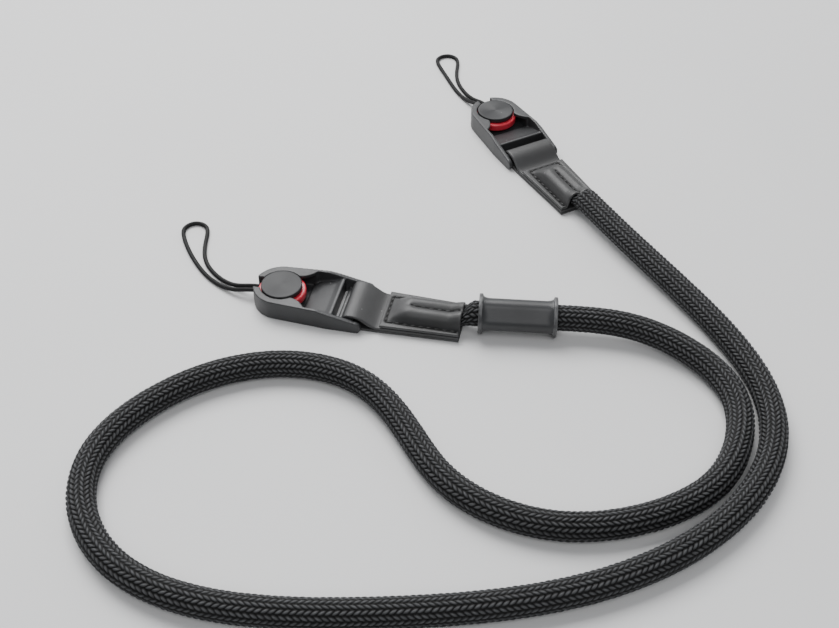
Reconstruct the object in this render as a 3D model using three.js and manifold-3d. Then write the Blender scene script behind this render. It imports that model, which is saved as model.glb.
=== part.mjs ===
// Neck strap of round braided rope: a leather tab, a quick-release connector and an anchor at each end,
// and a flanged keeper on the rope. Millimetres, +Z up, lying on the plane z = 0.
// The origin is under the axis of the left connector's disc.
import * as THREE from "three";
import { mergeVertices } from "three/addons/utils/BufferGeometryUtils.js";
import Module from "manifold-3d";

const wasm = await Module();
wasm.setup();

// Clearances
const GAP = 0.3; // between pieces that touch on the real strap
const DISC_GAP = 0.35; // between the anchor's disc and the rim round it
const POCKET_GAP = 0.4; // between the anchor's flange and its pocket, on the radius
const SOCKET_GAP = 0.4; // between the anchor's cord and its socket
const BORE_GAP = 0.5; // between the rope and the keeper's bore, on the radius
const FLAT_END_GAP = 0.35; // between the rope's flattened end and the sleeve over it

// Rope
const ROPE_DIAMETER = 11;
const ROPE_SIDES = 12;
const ROPE_STEPS = 80;

// Leather
const LEATHER = 1.3; // one layer
const TAB_WIDTH = 22.6; // at the connector
const TAB_END_WIDTH = 20; // at the rope
const TAB_LENGTH = 46; // from the connector's bar to the tab's rope end
const TAPER_PAST_RAILS = 3; // from the rails' ends to where the tab starts to narrow
const SLEEVE_LENGTH = 33;
const SLEEVE_HALF_DOME = 7.2; // half the distance between the two side seams
const SLEEVE_RISE = 5; // height of the two humps above the sewn edges
const SLEEVE_GROOVE = 1.6; // depth of the sewn groove between the humps
const SLEEVE_GROOVE_HALF = 1.7;

// Anchor
const CAP_RADIUS = 8.65;
const CAP_PROUD = 0.4; // how far the disc stands above the rim
const CAP_CHAMFER = 0.4;
const FLANGE_PROUD = 1.6; // how far the red flange reaches past the disc, on the radius
const FLANGE_THICKNESS = 3.6;
const FLANGE_CHAMFER = 0.5;
const SOCKET_DEPTH = 4.2;

// Anchor cord
const CORD_DIAMETER = 2;
const CORD_SIDES = 8;
const CORD_STEPS = 46;
const CORD_HALF_SPREAD = 1.3; // half the distance between the two strands at the anchor

// Connector housing, with +X towards the rope
const HOUSING_FLOOR = 1.8;
const UNDER_FLANGE = 1.5; // room under the anchor
const RIM_THICKNESS = 1.8;
const ROUND_END_WALL = 1.35;
const RIM_HORN_ANGLE = THREE.MathUtils.degToRad(50); // where the rim stops, from +X
const NOTCH_MARGIN = 1; // beside the cord in the notch at the tip
const NOTCH_BELOW_CORD = 0.7;
const RAIL_WALL = 1.9;
const RAIL_FROM_DISC = 13.35; // from the disc's edge to where the straight rails start
const RAIL_PAST_BAR = 5.5;
const RAIL_END_HEIGHT = 5.2;
const RAIL_END_ROUND = 2.4;
const RAMP_CLEAR = 0.55; // from the pocket to the foot of the ramp
const RAMP_LENGTH = 13.4;
const RAMP_LOW = 2.9;
const RAMP_HIGH = 6.3;
const LIP_HEIGHT = 0.6;
const LIP_LENGTH = 1.1;
const SLOT_LENGTH = 3.6; // from the lip to the tab's loop
const RIB_LENGTH = 2;
const RIB_TOP = 2.4;
const BAR_RADIUS = 1.7;
const LOOP_ABOVE_SURFACE = 0.7;

// Keeper on the rope
const KEEPER_LENGTH = 32;
const KEEPER_WALL = 0.6; // at the flats of its rounded square body
const KEEPER_CORNER = 4;
const KEEPER_FLANGE = 1.6;
const KEEPER_CHAMFER = 0.5;
const KEEPER_FILLET = 3.4;
const KEEPER_ROLL = THREE.MathUtils.degToRad(50); // turn of the flats about the rope
const KEEPER_FROM_TAB = 6; // visible rope between the tab and the keeper

// Radii and heights that follow from the sizes above
const ROPE_RADIUS = ROPE_DIAMETER / 2;
const STRAP_THICKNESS = 2 * LEATHER;
const ROPE_HIGH = STRAP_THICKNESS + GAP + ROPE_RADIUS; // rope axis at a tab and in the keeper
const KEEPER_FLANGE_RADIUS = ROPE_HIGH;
const KEEPER_WIDTH = 2 * (ROPE_RADIUS + BORE_GAP + KEEPER_WALL);
const FLANGE_RADIUS = CAP_RADIUS + FLANGE_PROUD;
const POCKET_RADIUS = FLANGE_RADIUS + POCKET_GAP;
const RIM_INNER_RADIUS = CAP_RADIUS + DISC_GAP;
const FLANGE_TOP = HOUSING_FLOOR + UNDER_FLANGE + FLANGE_THICKNESS;
const RIM_UNDERSIDE = FLANGE_TOP + GAP;
const HOUSING_HEIGHT = RIM_UNDERSIDE + RIM_THICKNESS;
const CORD_HIGH = FLANGE_TOP - FLANGE_THICKNESS / 2; // cord axis where it leaves the anchor
const CORD_LOW = CORD_DIAMETER / 2; // cord axis where it lies on the surface
const SOCKET_HEIGHT = CORD_DIAMETER + 2 * SOCKET_GAP;
const SOCKET_HALF_WIDTH = CORD_HALF_SPREAD + CORD_DIAMETER / 2 + SOCKET_GAP;
const NOTCH_FLOOR = CORD_HIGH - CORD_DIAMETER / 2 - NOTCH_BELOW_CORD;
const NOTCH_HALF_WIDTH = CORD_HALF_SPREAD + CORD_DIAMETER / 2 + NOTCH_MARGIN;
const LOOP_RADIUS = BAR_RADIUS + GAP + LEATHER; // outside of the tab's loop round the bar
const BAR_Z = LOOP_RADIUS + LOOP_ABOVE_SURFACE;

// Places along the connector, from the disc's axis
const ROUND_END_RADIUS = POCKET_RADIUS + ROUND_END_WALL;
const RAMP_FROM = POCKET_RADIUS + RAMP_CLEAR;
const RAMP_TO = RAMP_FROM + RAMP_LENGTH;
const BAR_X = RAMP_TO + SLOT_LENGTH + LOOP_RADIUS;
const RIB_TO = BAR_X - LOOP_RADIUS - 0.1; // the rib ends just short of the loop, well below its widest
const RAIL_INNER = TAB_WIDTH / 2 + GAP;
const RAIL_HALF_WIDTH = RAIL_INNER + RAIL_WALL;
const RAIL_FROM = CAP_RADIUS + RAIL_FROM_DISC;
const RAIL_END = BAR_X + RAIL_PAST_BAR;
const TAB_TAPER_FROM = RAIL_END + TAPER_PAST_RAILS;
const TAB_MOUTH = BAR_X + TAB_LENGTH;

// The rope's route, chosen by hand: what its axis is drawn towards, from the left tab to the right tab.
// The first two points set the left tab's place and heading, and the last two the right tab's.
const ROPE_ROUTE = [
  [76, -16.57, 8.4],
  [80, -17.44, 8.4],
  [84.5, -17.75, 8.4],
  [92, -18.35, 8.4],
  [104, -19.3, 8.4],
  [117, -20.35, 8.4],
  [130, -21.4, 8.4],
  [146, -24.6, 7.8],
  [162, -34, 6.7],
  [175, -48, 5.7],
  [181, -66, 5.5],
  [177, -87, 5.5],
  [166.5, -106, 5.5],
  [149, -118, 5.5],
  [128, -125, 5.5],
  [105, -126.5, 5.5],
  [82, -118.5, 5.5],
  [63, -102, 5.5],
  [52.5, -76.5, 5.5],
  [37, -52, 5.5],
  [10, -42, 5.5],
  [-19, -46, 5.5],
  [-46, -63, 5.5],
  [-65, -89, 5.5],
  [-64, -119.5, 5.5],
  [-46, -145, 5.5],
  [-18, -158, 5.5],
  [14, -162, 5.5],
  [48, -161.5, 5.5],
  [82, -159, 5.5],
  [115, -152.5, 5.5],
  [146, -139, 5.5],
  [172, -119, 5.5],
  [190, -91.5, 5.5],
  [193.5, -60.5, 5.5],
  [183, -28, 5.6],
  [167, 1, 6.4],
  [148.2, 31.1, 8.1],
  [131.4, 63.1, 8.4],
];
const KEEPER_STRETCH = [2, 6]; // the route's points between which the rope runs straight

// One half of each anchor cord's loop, chosen by hand in its connector's own frame: the middle of the
// two strands and half the distance between them. The loop's far end is one point.
const LEFT_LOOP = {
  rows: [
    { x: -7, y: 0, z: CORD_HIGH, half: CORD_HALF_SPREAD },
    { x: -12, y: 0, z: CORD_HIGH, half: CORD_HALF_SPREAD },
    { x: -17, y: 0.3, z: 3.9, half: 1.4 },
    { x: -22.5, y: 1.4, z: 1.9, half: 1.5 },
    { x: -29, y: 4.2, z: CORD_LOW, half: 1.6 },
    { x: -36, y: 9, z: CORD_LOW, half: 1.7 },
    { x: -42.5, y: 16, z: CORD_LOW, half: 2 },
    { x: -47.3, y: 24.5, z: CORD_LOW, half: 3.6 },
    { x: -50.6, y: 33, z: CORD_LOW, half: 5.4 },
    { x: -52.8, y: 39, z: CORD_LOW, half: 5.6 },
  ],
  tip: [-54, 42.3, CORD_LOW],
};
const RIGHT_LOOP = {
  rows: [
    { x: -7, y: 0, z: CORD_HIGH, half: CORD_HALF_SPREAD },
    { x: -12, y: 0, z: CORD_HIGH, half: CORD_HALF_SPREAD },
    { x: -17, y: -0.2, z: 3.9, half: 1.4 },
    { x: -22.5, y: -0.6, z: 1.9, half: 1.5 },
    { x: -29, y: -1, z: CORD_LOW, half: 1.6 },
    { x: -37, y: -0.6, z: CORD_LOW, half: 1.7 },
    { x: -45, y: 1, z: CORD_LOW, half: 2 },
    { x: -53, y: 3.6, z: CORD_LOW, half: 3.4 },
    { x: -60, y: 6.4, z: CORD_LOW, half: 5.2 },
    { x: -66, y: 8.6, z: CORD_LOW, half: 5.7 },
  ],
  tip: [-69.4, 9.8, CORD_LOW],
};

// Materials
const finish = (color, roughness, metalness = 0) =>
  new THREE.MeshStandardMaterial({ color, roughness, metalness });
const braid = finish(0x141416, 0.75);
const leather = finish(0x17171a, 0.42);
const housingPlastic = finish(0x2b2c31, 0.45);
const capPlastic = finish(0x303138, 0.38);
const redPlastic = finish(0xc8283a, 0.35);
const keeperPaint = finish(0x34353c, 0.5);
const thinCord = finish(0x121214, 0.7);

// Solids
function solidOf(geometry) {
  const bare = geometry.clone();
  bare.deleteAttribute("normal");
  bare.deleteAttribute("uv");
  const merged = mergeVertices(bare, 1e-4);
  return new wasm.Manifold(
    new wasm.Mesh({
      numProp: 3,
      vertProperties: new Float32Array(merged.attributes.position.array),
      triVerts: new Uint32Array(merged.index.array),
    }),
  );
}

function geometryOf(solid) {
  const mesh = solid.getMesh();
  const geometry = new THREE.BufferGeometry();
  geometry.setAttribute("position", new THREE.BufferAttribute(mesh.vertProperties, 3));
  geometry.setIndex(new THREE.BufferAttribute(mesh.triVerts, 1));
  geometry.computeVertexNormals();
  return geometry;
}

// A plan outline raised from one height to another.
function prism(shape, low, high, curveSegments = 40) {
  const depth = high - low;
  const geometry = new THREE.ExtrudeGeometry(shape, { depth, bevelEnabled: false, curveSegments });
  return geometry.translate(0, 0, low);
}

// A side outline, X and Z, spread to both sides of the middle plane.
function slab(shape, halfWidth, curveSegments = 20) {
  const depth = 2 * halfWidth;
  const geometry = new THREE.ExtrudeGeometry(shape, { depth, bevelEnabled: false, curveSegments });
  return geometry.rotateX(Math.PI / 2).translate(0, halfWidth, 0);
}

function rectangle(x0, x1, y0, y1) {
  const shape = new THREE.Shape();
  shape.moveTo(x0, y0);
  shape.lineTo(x1, y0);
  shape.lineTo(x1, y1);
  shape.lineTo(x0, y1);
  return shape;
}

function disc(radius) {
  const shape = new THREE.Shape();
  shape.absarc(0, 0, radius, 0, 2 * Math.PI);
  return shape;
}

// A closed skin through sections with the same number of points, closed by a flat cap at each end.
function loft(sections, contour) {
  const count = sections[0].length;
  const positions = sections.flat().flatMap((p) => [p.x, p.y, p.z]);
  const index = [];
  for (let i = 0; i + 1 < sections.length; i++) {
    for (let j = 0; j < count; j++) {
      const a = i * count + j;
      const b = i * count + ((j + 1) % count);
      index.push(a, b, a + count, b, b + count, a + count);
    }
  }
  const caps = THREE.ShapeUtils.triangulateShape(contour(sections[0]), []);
  const last = (sections.length - 1) * count;
  for (const [a, b, c] of caps) index.push(c, b, a);
  const lastCaps = THREE.ShapeUtils.triangulateShape(contour(sections.at(-1)), []);
  for (const [a, b, c] of lastCaps) index.push(last + a, last + b, last + c);
  const geometry = new THREE.BufferGeometry();
  geometry.setAttribute("position", new THREE.Float32BufferAttribute(positions, 3));
  geometry.setIndex(index);
  geometry.computeVertexNormals();
  return geometry;
}

// A smooth curve that the points pull towards them, and that starts and ends at the first and last.
class DrawnCurve extends THREE.Curve {
  constructor(points) {
    super();
    const before = points[0].clone().multiplyScalar(2).sub(points[1]);
    const after = points.at(-1).clone().multiplyScalar(2).sub(points.at(-2));
    this.points = [before, ...points, after];
    this.arcLengthDivisions = 20 * points.length;
  }

  getPoint(t, target = new THREE.Vector3()) {
    const spans = this.points.length - 3;
    const i = Math.min(Math.floor(t * spans), spans - 1);
    const u = t * spans - i;
    const weights = [
      (1 - u) ** 3 / 6,
      (3 * u ** 3 - 6 * u ** 2 + 4) / 6,
      (-3 * u ** 3 + 3 * u ** 2 + 3 * u + 1) / 6,
      u ** 3 / 6,
    ];
    target.set(0, 0, 0);
    weights.forEach((weight, j) => target.addScaledVector(this.points[i + j], weight));
    return target;
  }
}

// A round tube along a drawn curve.
function tube(points, radius, sides, steps) {
  const section = new THREE.Shape();
  for (let i = 0; i < sides; i++) {
    const angle = (2 * Math.PI * i) / sides;
    const x = radius * Math.cos(angle);
    const y = radius * Math.sin(angle);
    if (i === 0) section.moveTo(x, y);
    else section.lineTo(x, y);
  }
  const extrudePath = new DrawnCurve(points);
  return new THREE.ExtrudeGeometry(section, { steps, extrudePath, bevelEnabled: false });
}

// Housing
function housingOutline() {
  const reach = Math.hypot(RAIL_FROM, RAIL_HALF_WIDTH);
  const touch = Math.atan2(RAIL_HALF_WIDTH, RAIL_FROM) + Math.acos(ROUND_END_RADIUS / reach);
  const shape = new THREE.Shape();
  shape.absarc(0, 0, ROUND_END_RADIUS, touch, -touch);
  shape.lineTo(RAIL_FROM, -RAIL_HALF_WIDTH);
  shape.lineTo(RAIL_END, -RAIL_HALF_WIDTH);
  shape.lineTo(RAIL_END, RAIL_HALF_WIDTH);
  shape.lineTo(RAIL_FROM, RAIL_HALF_WIDTH);
  return shape;
}

// The rails' outline seen from the side: full height at the disc, low and rounded at the far end.
function housingSide() {
  const shape = new THREE.Shape();
  const round = RAIL_END_ROUND;
  shape.moveTo(-ROUND_END_RADIUS - 1, 0);
  shape.lineTo(RAIL_END - round, 0);
  shape.absarc(RAIL_END - round, round, round, -Math.PI / 2, 0);
  shape.lineTo(RAIL_END, RAIL_END_HEIGHT - round);
  shape.absarc(RAIL_END - round, RAIL_END_HEIGHT - round, round, 0, Math.PI / 2);
  shape.quadraticCurveTo(RAIL_FROM + 5, HOUSING_HEIGHT - 2, RAIL_FROM - 4, HOUSING_HEIGHT);
  shape.lineTo(-ROUND_END_RADIUS - 1, HOUSING_HEIGHT);
  return shape;
}

// What the rim leaves open on its rope side, from horn to horn and along the rails.
function recessOutline() {
  const hornX = RIM_INNER_RADIUS * Math.cos(RIM_HORN_ANGLE);
  const hornY = RIM_INNER_RADIUS * Math.sin(RIM_HORN_ANGLE);
  const shape = new THREE.Shape();
  shape.moveTo(0, -hornY);
  shape.lineTo(hornX, -hornY);
  shape.quadraticCurveTo(RAMP_FROM - 1.2, -hornY - 0.6, RAMP_FROM + 1.5, -RAIL_INNER);
  shape.lineTo(RAIL_END + 1, -RAIL_INNER);
  shape.lineTo(RAIL_END + 1, RAIL_INNER);
  shape.lineTo(RAMP_FROM + 1.5, RAIL_INNER);
  shape.quadraticCurveTo(RAMP_FROM - 1.2, hornY + 0.6, hornX, hornY);
  shape.lineTo(0, hornY);
  return shape;
}

function rampSide() {
  const shape = new THREE.Shape();
  shape.moveTo(RAMP_FROM, HOUSING_FLOOR / 2);
  shape.lineTo(RAMP_TO, HOUSING_FLOOR / 2);
  shape.lineTo(RAMP_TO, RAMP_HIGH + LIP_HEIGHT);
  shape.lineTo(RAMP_TO - LIP_LENGTH, RAMP_HIGH + LIP_HEIGHT);
  shape.quadraticCurveTo(RAMP_TO - 2 * LIP_LENGTH, RAMP_HIGH, RAMP_TO - 3 * LIP_LENGTH, RAMP_HIGH - 0.5);
  shape.lineTo(RAMP_FROM, RAMP_LOW);
  return shape;
}

function housingGeometry() {
  const top = HOUSING_HEIGHT + 1;
  const body = solidOf(prism(housingOutline(), 0, HOUSING_HEIGHT, 56));
  const pocketRound = solidOf(prism(disc(POCKET_RADIUS), HOUSING_FLOOR, RIM_UNDERSIDE, 56));
  const pocketWay = solidOf(
    prism(rectangle(0, RAIL_FROM, -POCKET_RADIUS, POCKET_RADIUS), HOUSING_FLOOR, RIM_UNDERSIDE),
  );
  const discHole = solidOf(prism(disc(RIM_INNER_RADIUS), HOUSING_FLOOR, top, 56));
  const recess = solidOf(prism(recessOutline(), RIM_UNDERSIDE - 0.5, top, 16));
  const railGap = solidOf(
    prism(rectangle(RAMP_FROM + 1.5, RAIL_END + 1, -RAIL_INNER, RAIL_INNER), HOUSING_FLOOR, top),
  );
  const openEnd = solidOf(prism(rectangle(RAMP_TO, RAIL_END + 1, -RAIL_INNER, RAIL_INNER), -1, top));
  const notch = solidOf(
    prism(rectangle(-ROUND_END_RADIUS - 1, 0, -NOTCH_HALF_WIDTH, NOTCH_HALF_WIDTH), NOTCH_FLOOR, top),
  );
  const ramp = solidOf(slab(rampSide(), RAIL_INNER + 0.5));
  const rib = solidOf(
    slab(rectangle(RIB_TO - RIB_LENGTH, RIB_TO, 0, RIB_TOP), RAIL_INNER + 0.5),
  );
  const barShape = new THREE.Shape();
  barShape.absarc(BAR_X, BAR_Z, BAR_RADIUS, 0, 2 * Math.PI);
  const bar = solidOf(slab(barShape, RAIL_INNER + 0.5));
  const side = solidOf(slab(housingSide(), RAIL_HALF_WIDTH + 1, 12));
  const solid = body
    .subtract(pocketRound)
    .subtract(pocketWay)
    .subtract(discHole)
    .subtract(recess)
    .subtract(railGap)
    .subtract(openEnd)
    .subtract(notch)
    .add(ramp)
    .add(rib)
    .add(bar)
    .intersect(side);
  return geometryOf(solid);
}

// Anchor
function anchorCapGeometry() {
  const low = FLANGE_TOP + GAP;
  const high = HOUSING_HEIGHT + CAP_PROUD;
  const profile = [
    [0, low],
    [CAP_RADIUS, low],
    [CAP_RADIUS, high - CAP_CHAMFER],
    [CAP_RADIUS - CAP_CHAMFER, high],
    [0, high],
  ].map(([r, z]) => new THREE.Vector2(r, z));
  return new THREE.LatheGeometry(profile, 56).rotateX(Math.PI / 2);
}

function anchorBaseGeometry() {
  const low = FLANGE_TOP - FLANGE_THICKNESS;
  const profile = [
    [0, low],
    [FLANGE_RADIUS - FLANGE_CHAMFER, low],
    [FLANGE_RADIUS, low + FLANGE_CHAMFER],
    [FLANGE_RADIUS, FLANGE_TOP - FLANGE_CHAMFER],
    [FLANGE_RADIUS - FLANGE_CHAMFER, FLANGE_TOP],
    [0, FLANGE_TOP],
  ].map(([r, z]) => new THREE.Vector2(r, z));
  const body = solidOf(new THREE.LatheGeometry(profile, 56).rotateX(Math.PI / 2));
  const socketShape = rectangle(
    -FLANGE_RADIUS - 1,
    -FLANGE_RADIUS + SOCKET_DEPTH,
    -SOCKET_HALF_WIDTH,
    SOCKET_HALF_WIDTH,
  );
  const socket = solidOf(
    prism(socketShape, CORD_HIGH - SOCKET_HEIGHT / 2, CORD_HIGH + SOCKET_HEIGHT / 2),
  );
  return geometryOf(body.subtract(socket));
}

// The loop's points: out along one strand, round the tip and back along the other.
function loopPoints({ rows, tip }) {
  const middles = rows.map((row) => new THREE.Vector3(row.x, row.y, row.z));
  const end = new THREE.Vector3(...tip);
  const sideAt = (i) => {
    const before = middles[Math.max(i - 1, 0)];
    const after = middles[i + 1] ?? end;
    const along = after.clone().sub(before).setZ(0).normalize();
    return new THREE.Vector3(-along.y, along.x, 0);
  };
  const strand = (sign) =>
    middles.map((middle, i) => middle.clone().addScaledVector(sideAt(i), sign * rows[i].half));
  return [...strand(1), end, ...strand(-1).reverse()];
}

// Tab
function tabStrapGeometry() {
  const outer = LOOP_RADIUS;
  const inner = BAR_RADIUS + GAP;
  const meet = TAB_TAPER_FROM - 1;
  const shape = new THREE.Shape();
  shape.moveTo(TAB_MOUTH, 0);
  shape.lineTo(TAB_MOUTH, STRAP_THICKNESS);
  shape.lineTo(TAB_TAPER_FROM + 4, STRAP_THICKNESS);
  shape.bezierCurveTo(
    TAB_TAPER_FROM - 1, STRAP_THICKNESS,
    BAR_X + 6, BAR_Z + outer,
    BAR_X + 1, BAR_Z + outer,
  );
  shape.lineTo(BAR_X, BAR_Z + outer);
  shape.absarc(BAR_X, BAR_Z, outer, Math.PI / 2, (3 * Math.PI) / 2);
  shape.quadraticCurveTo(BAR_X + 3, 0, BAR_X + 6, 0);
  shape.lineTo(TAB_TAPER_FROM, 0);
  const hole = new THREE.Path();
  hole.moveTo(meet, LEATHER);
  hole.quadraticCurveTo(BAR_X + 5, BAR_Z + inner, BAR_X, BAR_Z + inner);
  hole.absarc(BAR_X, BAR_Z, inner, Math.PI / 2, (3 * Math.PI) / 2);
  hole.quadraticCurveTo(BAR_X + 4, LEATHER, meet, LEATHER);
  shape.holes.push(hole);
  const geometry = slab(shape, TAB_WIDTH / 2, 14);
  return taperWidth(geometry);
}

// Narrows the strap in a straight line from the start of its taper to its rope end.
function taperWidth(geometry) {
  const position = geometry.attributes.position;
  for (let i = 0; i < position.count; i++) {
    const share = (position.getX(i) - TAB_TAPER_FROM) / (TAB_MOUTH - TAB_TAPER_FROM);
    position.setY(i, Math.sign(position.getY(i)) * tabHalfWidth(share));
  }
  return geometry;
}

function tabHalfWidth(share) {
  const bounded = THREE.MathUtils.clamp(share, 0, 1);
  return THREE.MathUtils.lerp(TAB_WIDTH, TAB_END_WIDTH, bounded) / 2;
}

// The sleeve's humps along its length, as shares of the length, of their rise and of the groove's depth.
const SLEEVE_ROWS = [
  { along: 0, rise: 0.02, groove: 0 },
  { along: 0.07, rise: 0.03, groove: 0 },
  { along: 0.11, rise: 0.22, groove: 0 },
  { along: 0.16, rise: 0.55, groove: 0.05 },
  { along: 0.23, rise: 0.83, groove: 0.15 },
  { along: 0.3, rise: 0.95, groove: 0.7 },
  { along: 0.4, rise: 1, groove: 1 },
  { along: 1, rise: 1, groove: 1 },
];
const HUMP_POINTS = 22;
const HUMP_POWER = 2.6; // how square-shouldered the humps are

// Height above the sewn edges at a share of the half width, from -1 to 1.
function humpHeight(share, row) {
  const arch = Math.max(1 - Math.abs(share) ** HUMP_POWER, 0) ** (1 / HUMP_POWER);
  const dip = Math.exp(-(((share * SLEEVE_HALF_DOME) / SLEEVE_GROOVE_HALF) ** 2));
  return (SLEEVE_RISE * row.rise - SLEEVE_GROOVE * row.groove * dip) * arch;
}

// The humps' line across the tab, from one seam to the other.
function humpLine(x, row, halfWidth, base) {
  return Array.from({ length: HUMP_POINTS + 1 }, (_, i) => {
    const share = -Math.cos((Math.PI * i) / HUMP_POINTS);
    return new THREE.Vector3(x, share * halfWidth, base + humpHeight(share, row));
  });
}

// One sheet of leather across the tab: flat sewn edges, and the humps with the rope's hollow under them.
function sleeveSection(row) {
  const x = TAB_MOUTH - SLEEVE_LENGTH * (1 - row.along);
  const base = STRAP_THICKNESS + GAP;
  const edge = tabHalfWidth((x - TAB_TAPER_FROM) / (TAB_MOUTH - TAB_TAPER_FROM));
  const over = humpLine(x, row, SLEEVE_HALF_DOME, base + LEATHER);
  const under = humpLine(x, row, SLEEVE_HALF_DOME - LEATHER, base);
  return [
    new THREE.Vector3(x, edge, base),
    new THREE.Vector3(x, edge, base + LEATHER),
    ...over.reverse(),
    new THREE.Vector3(x, -edge, base + LEATHER),
    new THREE.Vector3(x, -edge, base),
    ...under,
  ];
}

function tabSleeveGeometry() {
  const contour = (section) => section.map((p) => new THREE.Vector2(p.y, p.z));
  return loft(SLEEVE_ROWS.map(sleeveSection), contour);
}

// The rope's flattened end, which fills the hollow from the mouth to where the humps start to fall.
function flatEndGeometry() {
  const base = STRAP_THICKNESS + GAP;
  const halfWidth = SLEEVE_HALF_DOME - LEATHER - FLAT_END_GAP;
  const depth = SLEEVE_LENGTH * (1 - SLEEVE_ROWS.at(-2).along) - GAP;
  const row = SLEEVE_ROWS.at(-1);
  const shape = new THREE.Shape();
  shape.moveTo(-halfWidth, base);
  for (const point of humpLine(0, row, halfWidth, base)) {
    shape.lineTo(point.y, Math.max(point.z - FLAT_END_GAP, base + FLAT_END_GAP));
  }
  shape.lineTo(halfWidth, base);
  const geometry = new THREE.ExtrudeGeometry(shape, { depth, bevelEnabled: false });
  geometry.rotateX(Math.PI / 2).rotateZ(Math.PI / 2);
  return geometry.translate(TAB_MOUTH - depth, 0, 0);
}

// Keeper, along X with its middle at the origin
function keeperSection(x, flare, round) {
  const half = KEEPER_WIDTH / 2;
  const straight = half - KEEPER_CORNER;
  const count = 56;
  const points = [];
  for (let i = 0; i < count; i++) {
    const angle = (2 * Math.PI * i) / count;
    const cosine = Math.abs(Math.cos(angle));
    const sine = Math.abs(Math.sin(angle));
    const flat = half / Math.max(cosine, sine);
    const reach = straight * (cosine + sine);
    const corner = reach + Math.sqrt(Math.max(reach ** 2 - 2 * straight ** 2 + KEEPER_CORNER ** 2, 0));
    const onFlat = flat * Math.min(cosine, sine) <= straight;
    const radius = THREE.MathUtils.lerp(onFlat ? flat : corner, round, flare);
    const turned = angle + KEEPER_ROLL;
    points.push(new THREE.Vector3(x, radius * Math.cos(turned), radius * Math.sin(turned)));
  }
  return points;
}

function keeperGeometry() {
  const half = KEEPER_LENGTH / 2;
  const inside = half - KEEPER_FLANGE;
  const fillet = [0, 0.13, 0.29, 0.5, 0.71, 0.87, 1];
  const rising = fillet.map((share) => ({
    x: inside - KEEPER_FILLET * (1 - share),
    flare: 1 - Math.sqrt(Math.max(1 - share ** 2, 0)),
    round: KEEPER_FLANGE_RADIUS,
  }));
  const outward = [
    ...rising,
    { x: half - KEEPER_CHAMFER, flare: 1, round: KEEPER_FLANGE_RADIUS },
    { x: half, flare: 1, round: KEEPER_FLANGE_RADIUS - KEEPER_CHAMFER },
  ];
  const mirrored = outward.map((row) => ({ ...row, x: -row.x })).reverse();
  const rows = [...mirrored, ...outward];
  const contour = (section) => section.map((p) => new THREE.Vector2(p.y, p.z));
  const skin = solidOf(loft(rows.map(({ x, flare, round }) => keeperSection(x, flare, round)), contour));
  const boreRadius = ROPE_RADIUS + BORE_GAP;
  const bore = new THREE.CylinderGeometry(boreRadius, boreRadius, KEEPER_LENGTH + 2, 48);
  return geometryOf(skin.subtract(solidOf(bore.rotateZ(Math.PI / 2))));
}

// Assembly
const strap = new THREE.Group();
const routePoints = ROPE_ROUTE.map((point) => new THREE.Vector3(...point));

function add(parent, name, geometry, material) {
  const mesh = new THREE.Mesh(geometry, material);
  mesh.name = name;
  parent.add(mesh);
  return mesh;
}

// A tab, its connector and its anchor, on the rope's end that runs from inner to outer.
function addEnd(side, inner, outer, loop) {
  const heading = Math.atan2(outer.y - inner.y, outer.x - inner.x);
  const fromDisc = TAB_MOUTH + GAP;
  const end = new THREE.Group();
  end.rotation.z = heading;
  end.position.set(
    inner.x - fromDisc * Math.cos(heading),
    inner.y - fromDisc * Math.sin(heading),
    0,
  );
  strap.add(end);
  add(end, `${side}_housing`, housingGeometry(), housingPlastic);
  add(end, `${side}_anchor_cap`, anchorCapGeometry(), capPlastic);
  add(end, `${side}_anchor_base`, anchorBaseGeometry(), redPlastic);
  add(end, `${side}_tab_strap`, tabStrapGeometry(), leather);
  add(end, `${side}_tab_sleeve`, tabSleeveGeometry(), leather);
  add(end, `${side}_rope_end`, flatEndGeometry(), braid);
  const cord = tube(loopPoints(loop), CORD_DIAMETER / 2, CORD_SIDES, CORD_STEPS);
  add(end, `${side}_anchor_cord`, cord, thinCord);
}

function addKeeper() {
  const [start, ahead] = KEEPER_STRETCH.map((i) => routePoints[i]);
  const heading = Math.atan2(ahead.y - start.y, ahead.x - start.x);
  const fromStart = KEEPER_FROM_TAB + KEEPER_LENGTH / 2 - routePoints[0].distanceTo(start);
  const keeper = add(strap, "slider", keeperGeometry(), keeperPaint);
  keeper.position.set(
    start.x + fromStart * Math.cos(heading),
    start.y + fromStart * Math.sin(heading),
    ROPE_HIGH,
  );
  keeper.rotation.z = heading;
}

add(strap, "rope", tube(routePoints, ROPE_RADIUS, ROPE_SIDES, ROPE_STEPS), braid);
addEnd("left", routePoints[0], routePoints[1], LEFT_LOOP);
addEnd("right", routePoints.at(-1), routePoints.at(-2), RIGHT_LOOP);
addKeeper();

export default strap;
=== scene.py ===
# %% [markdown]
# A rope neck strap for a camera, made up in Blender.
# The real strap is one length of round braided rope. Each end is sewn into a leather tab, the tab
# loops round the bar of a small plastic connector, and a corded anchor clips into the connector.
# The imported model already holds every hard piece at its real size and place. This script gives each
# piece its true surface, in metres and in that same frame, so nothing has to be fitted afterwards.

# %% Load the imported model
import math

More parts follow.
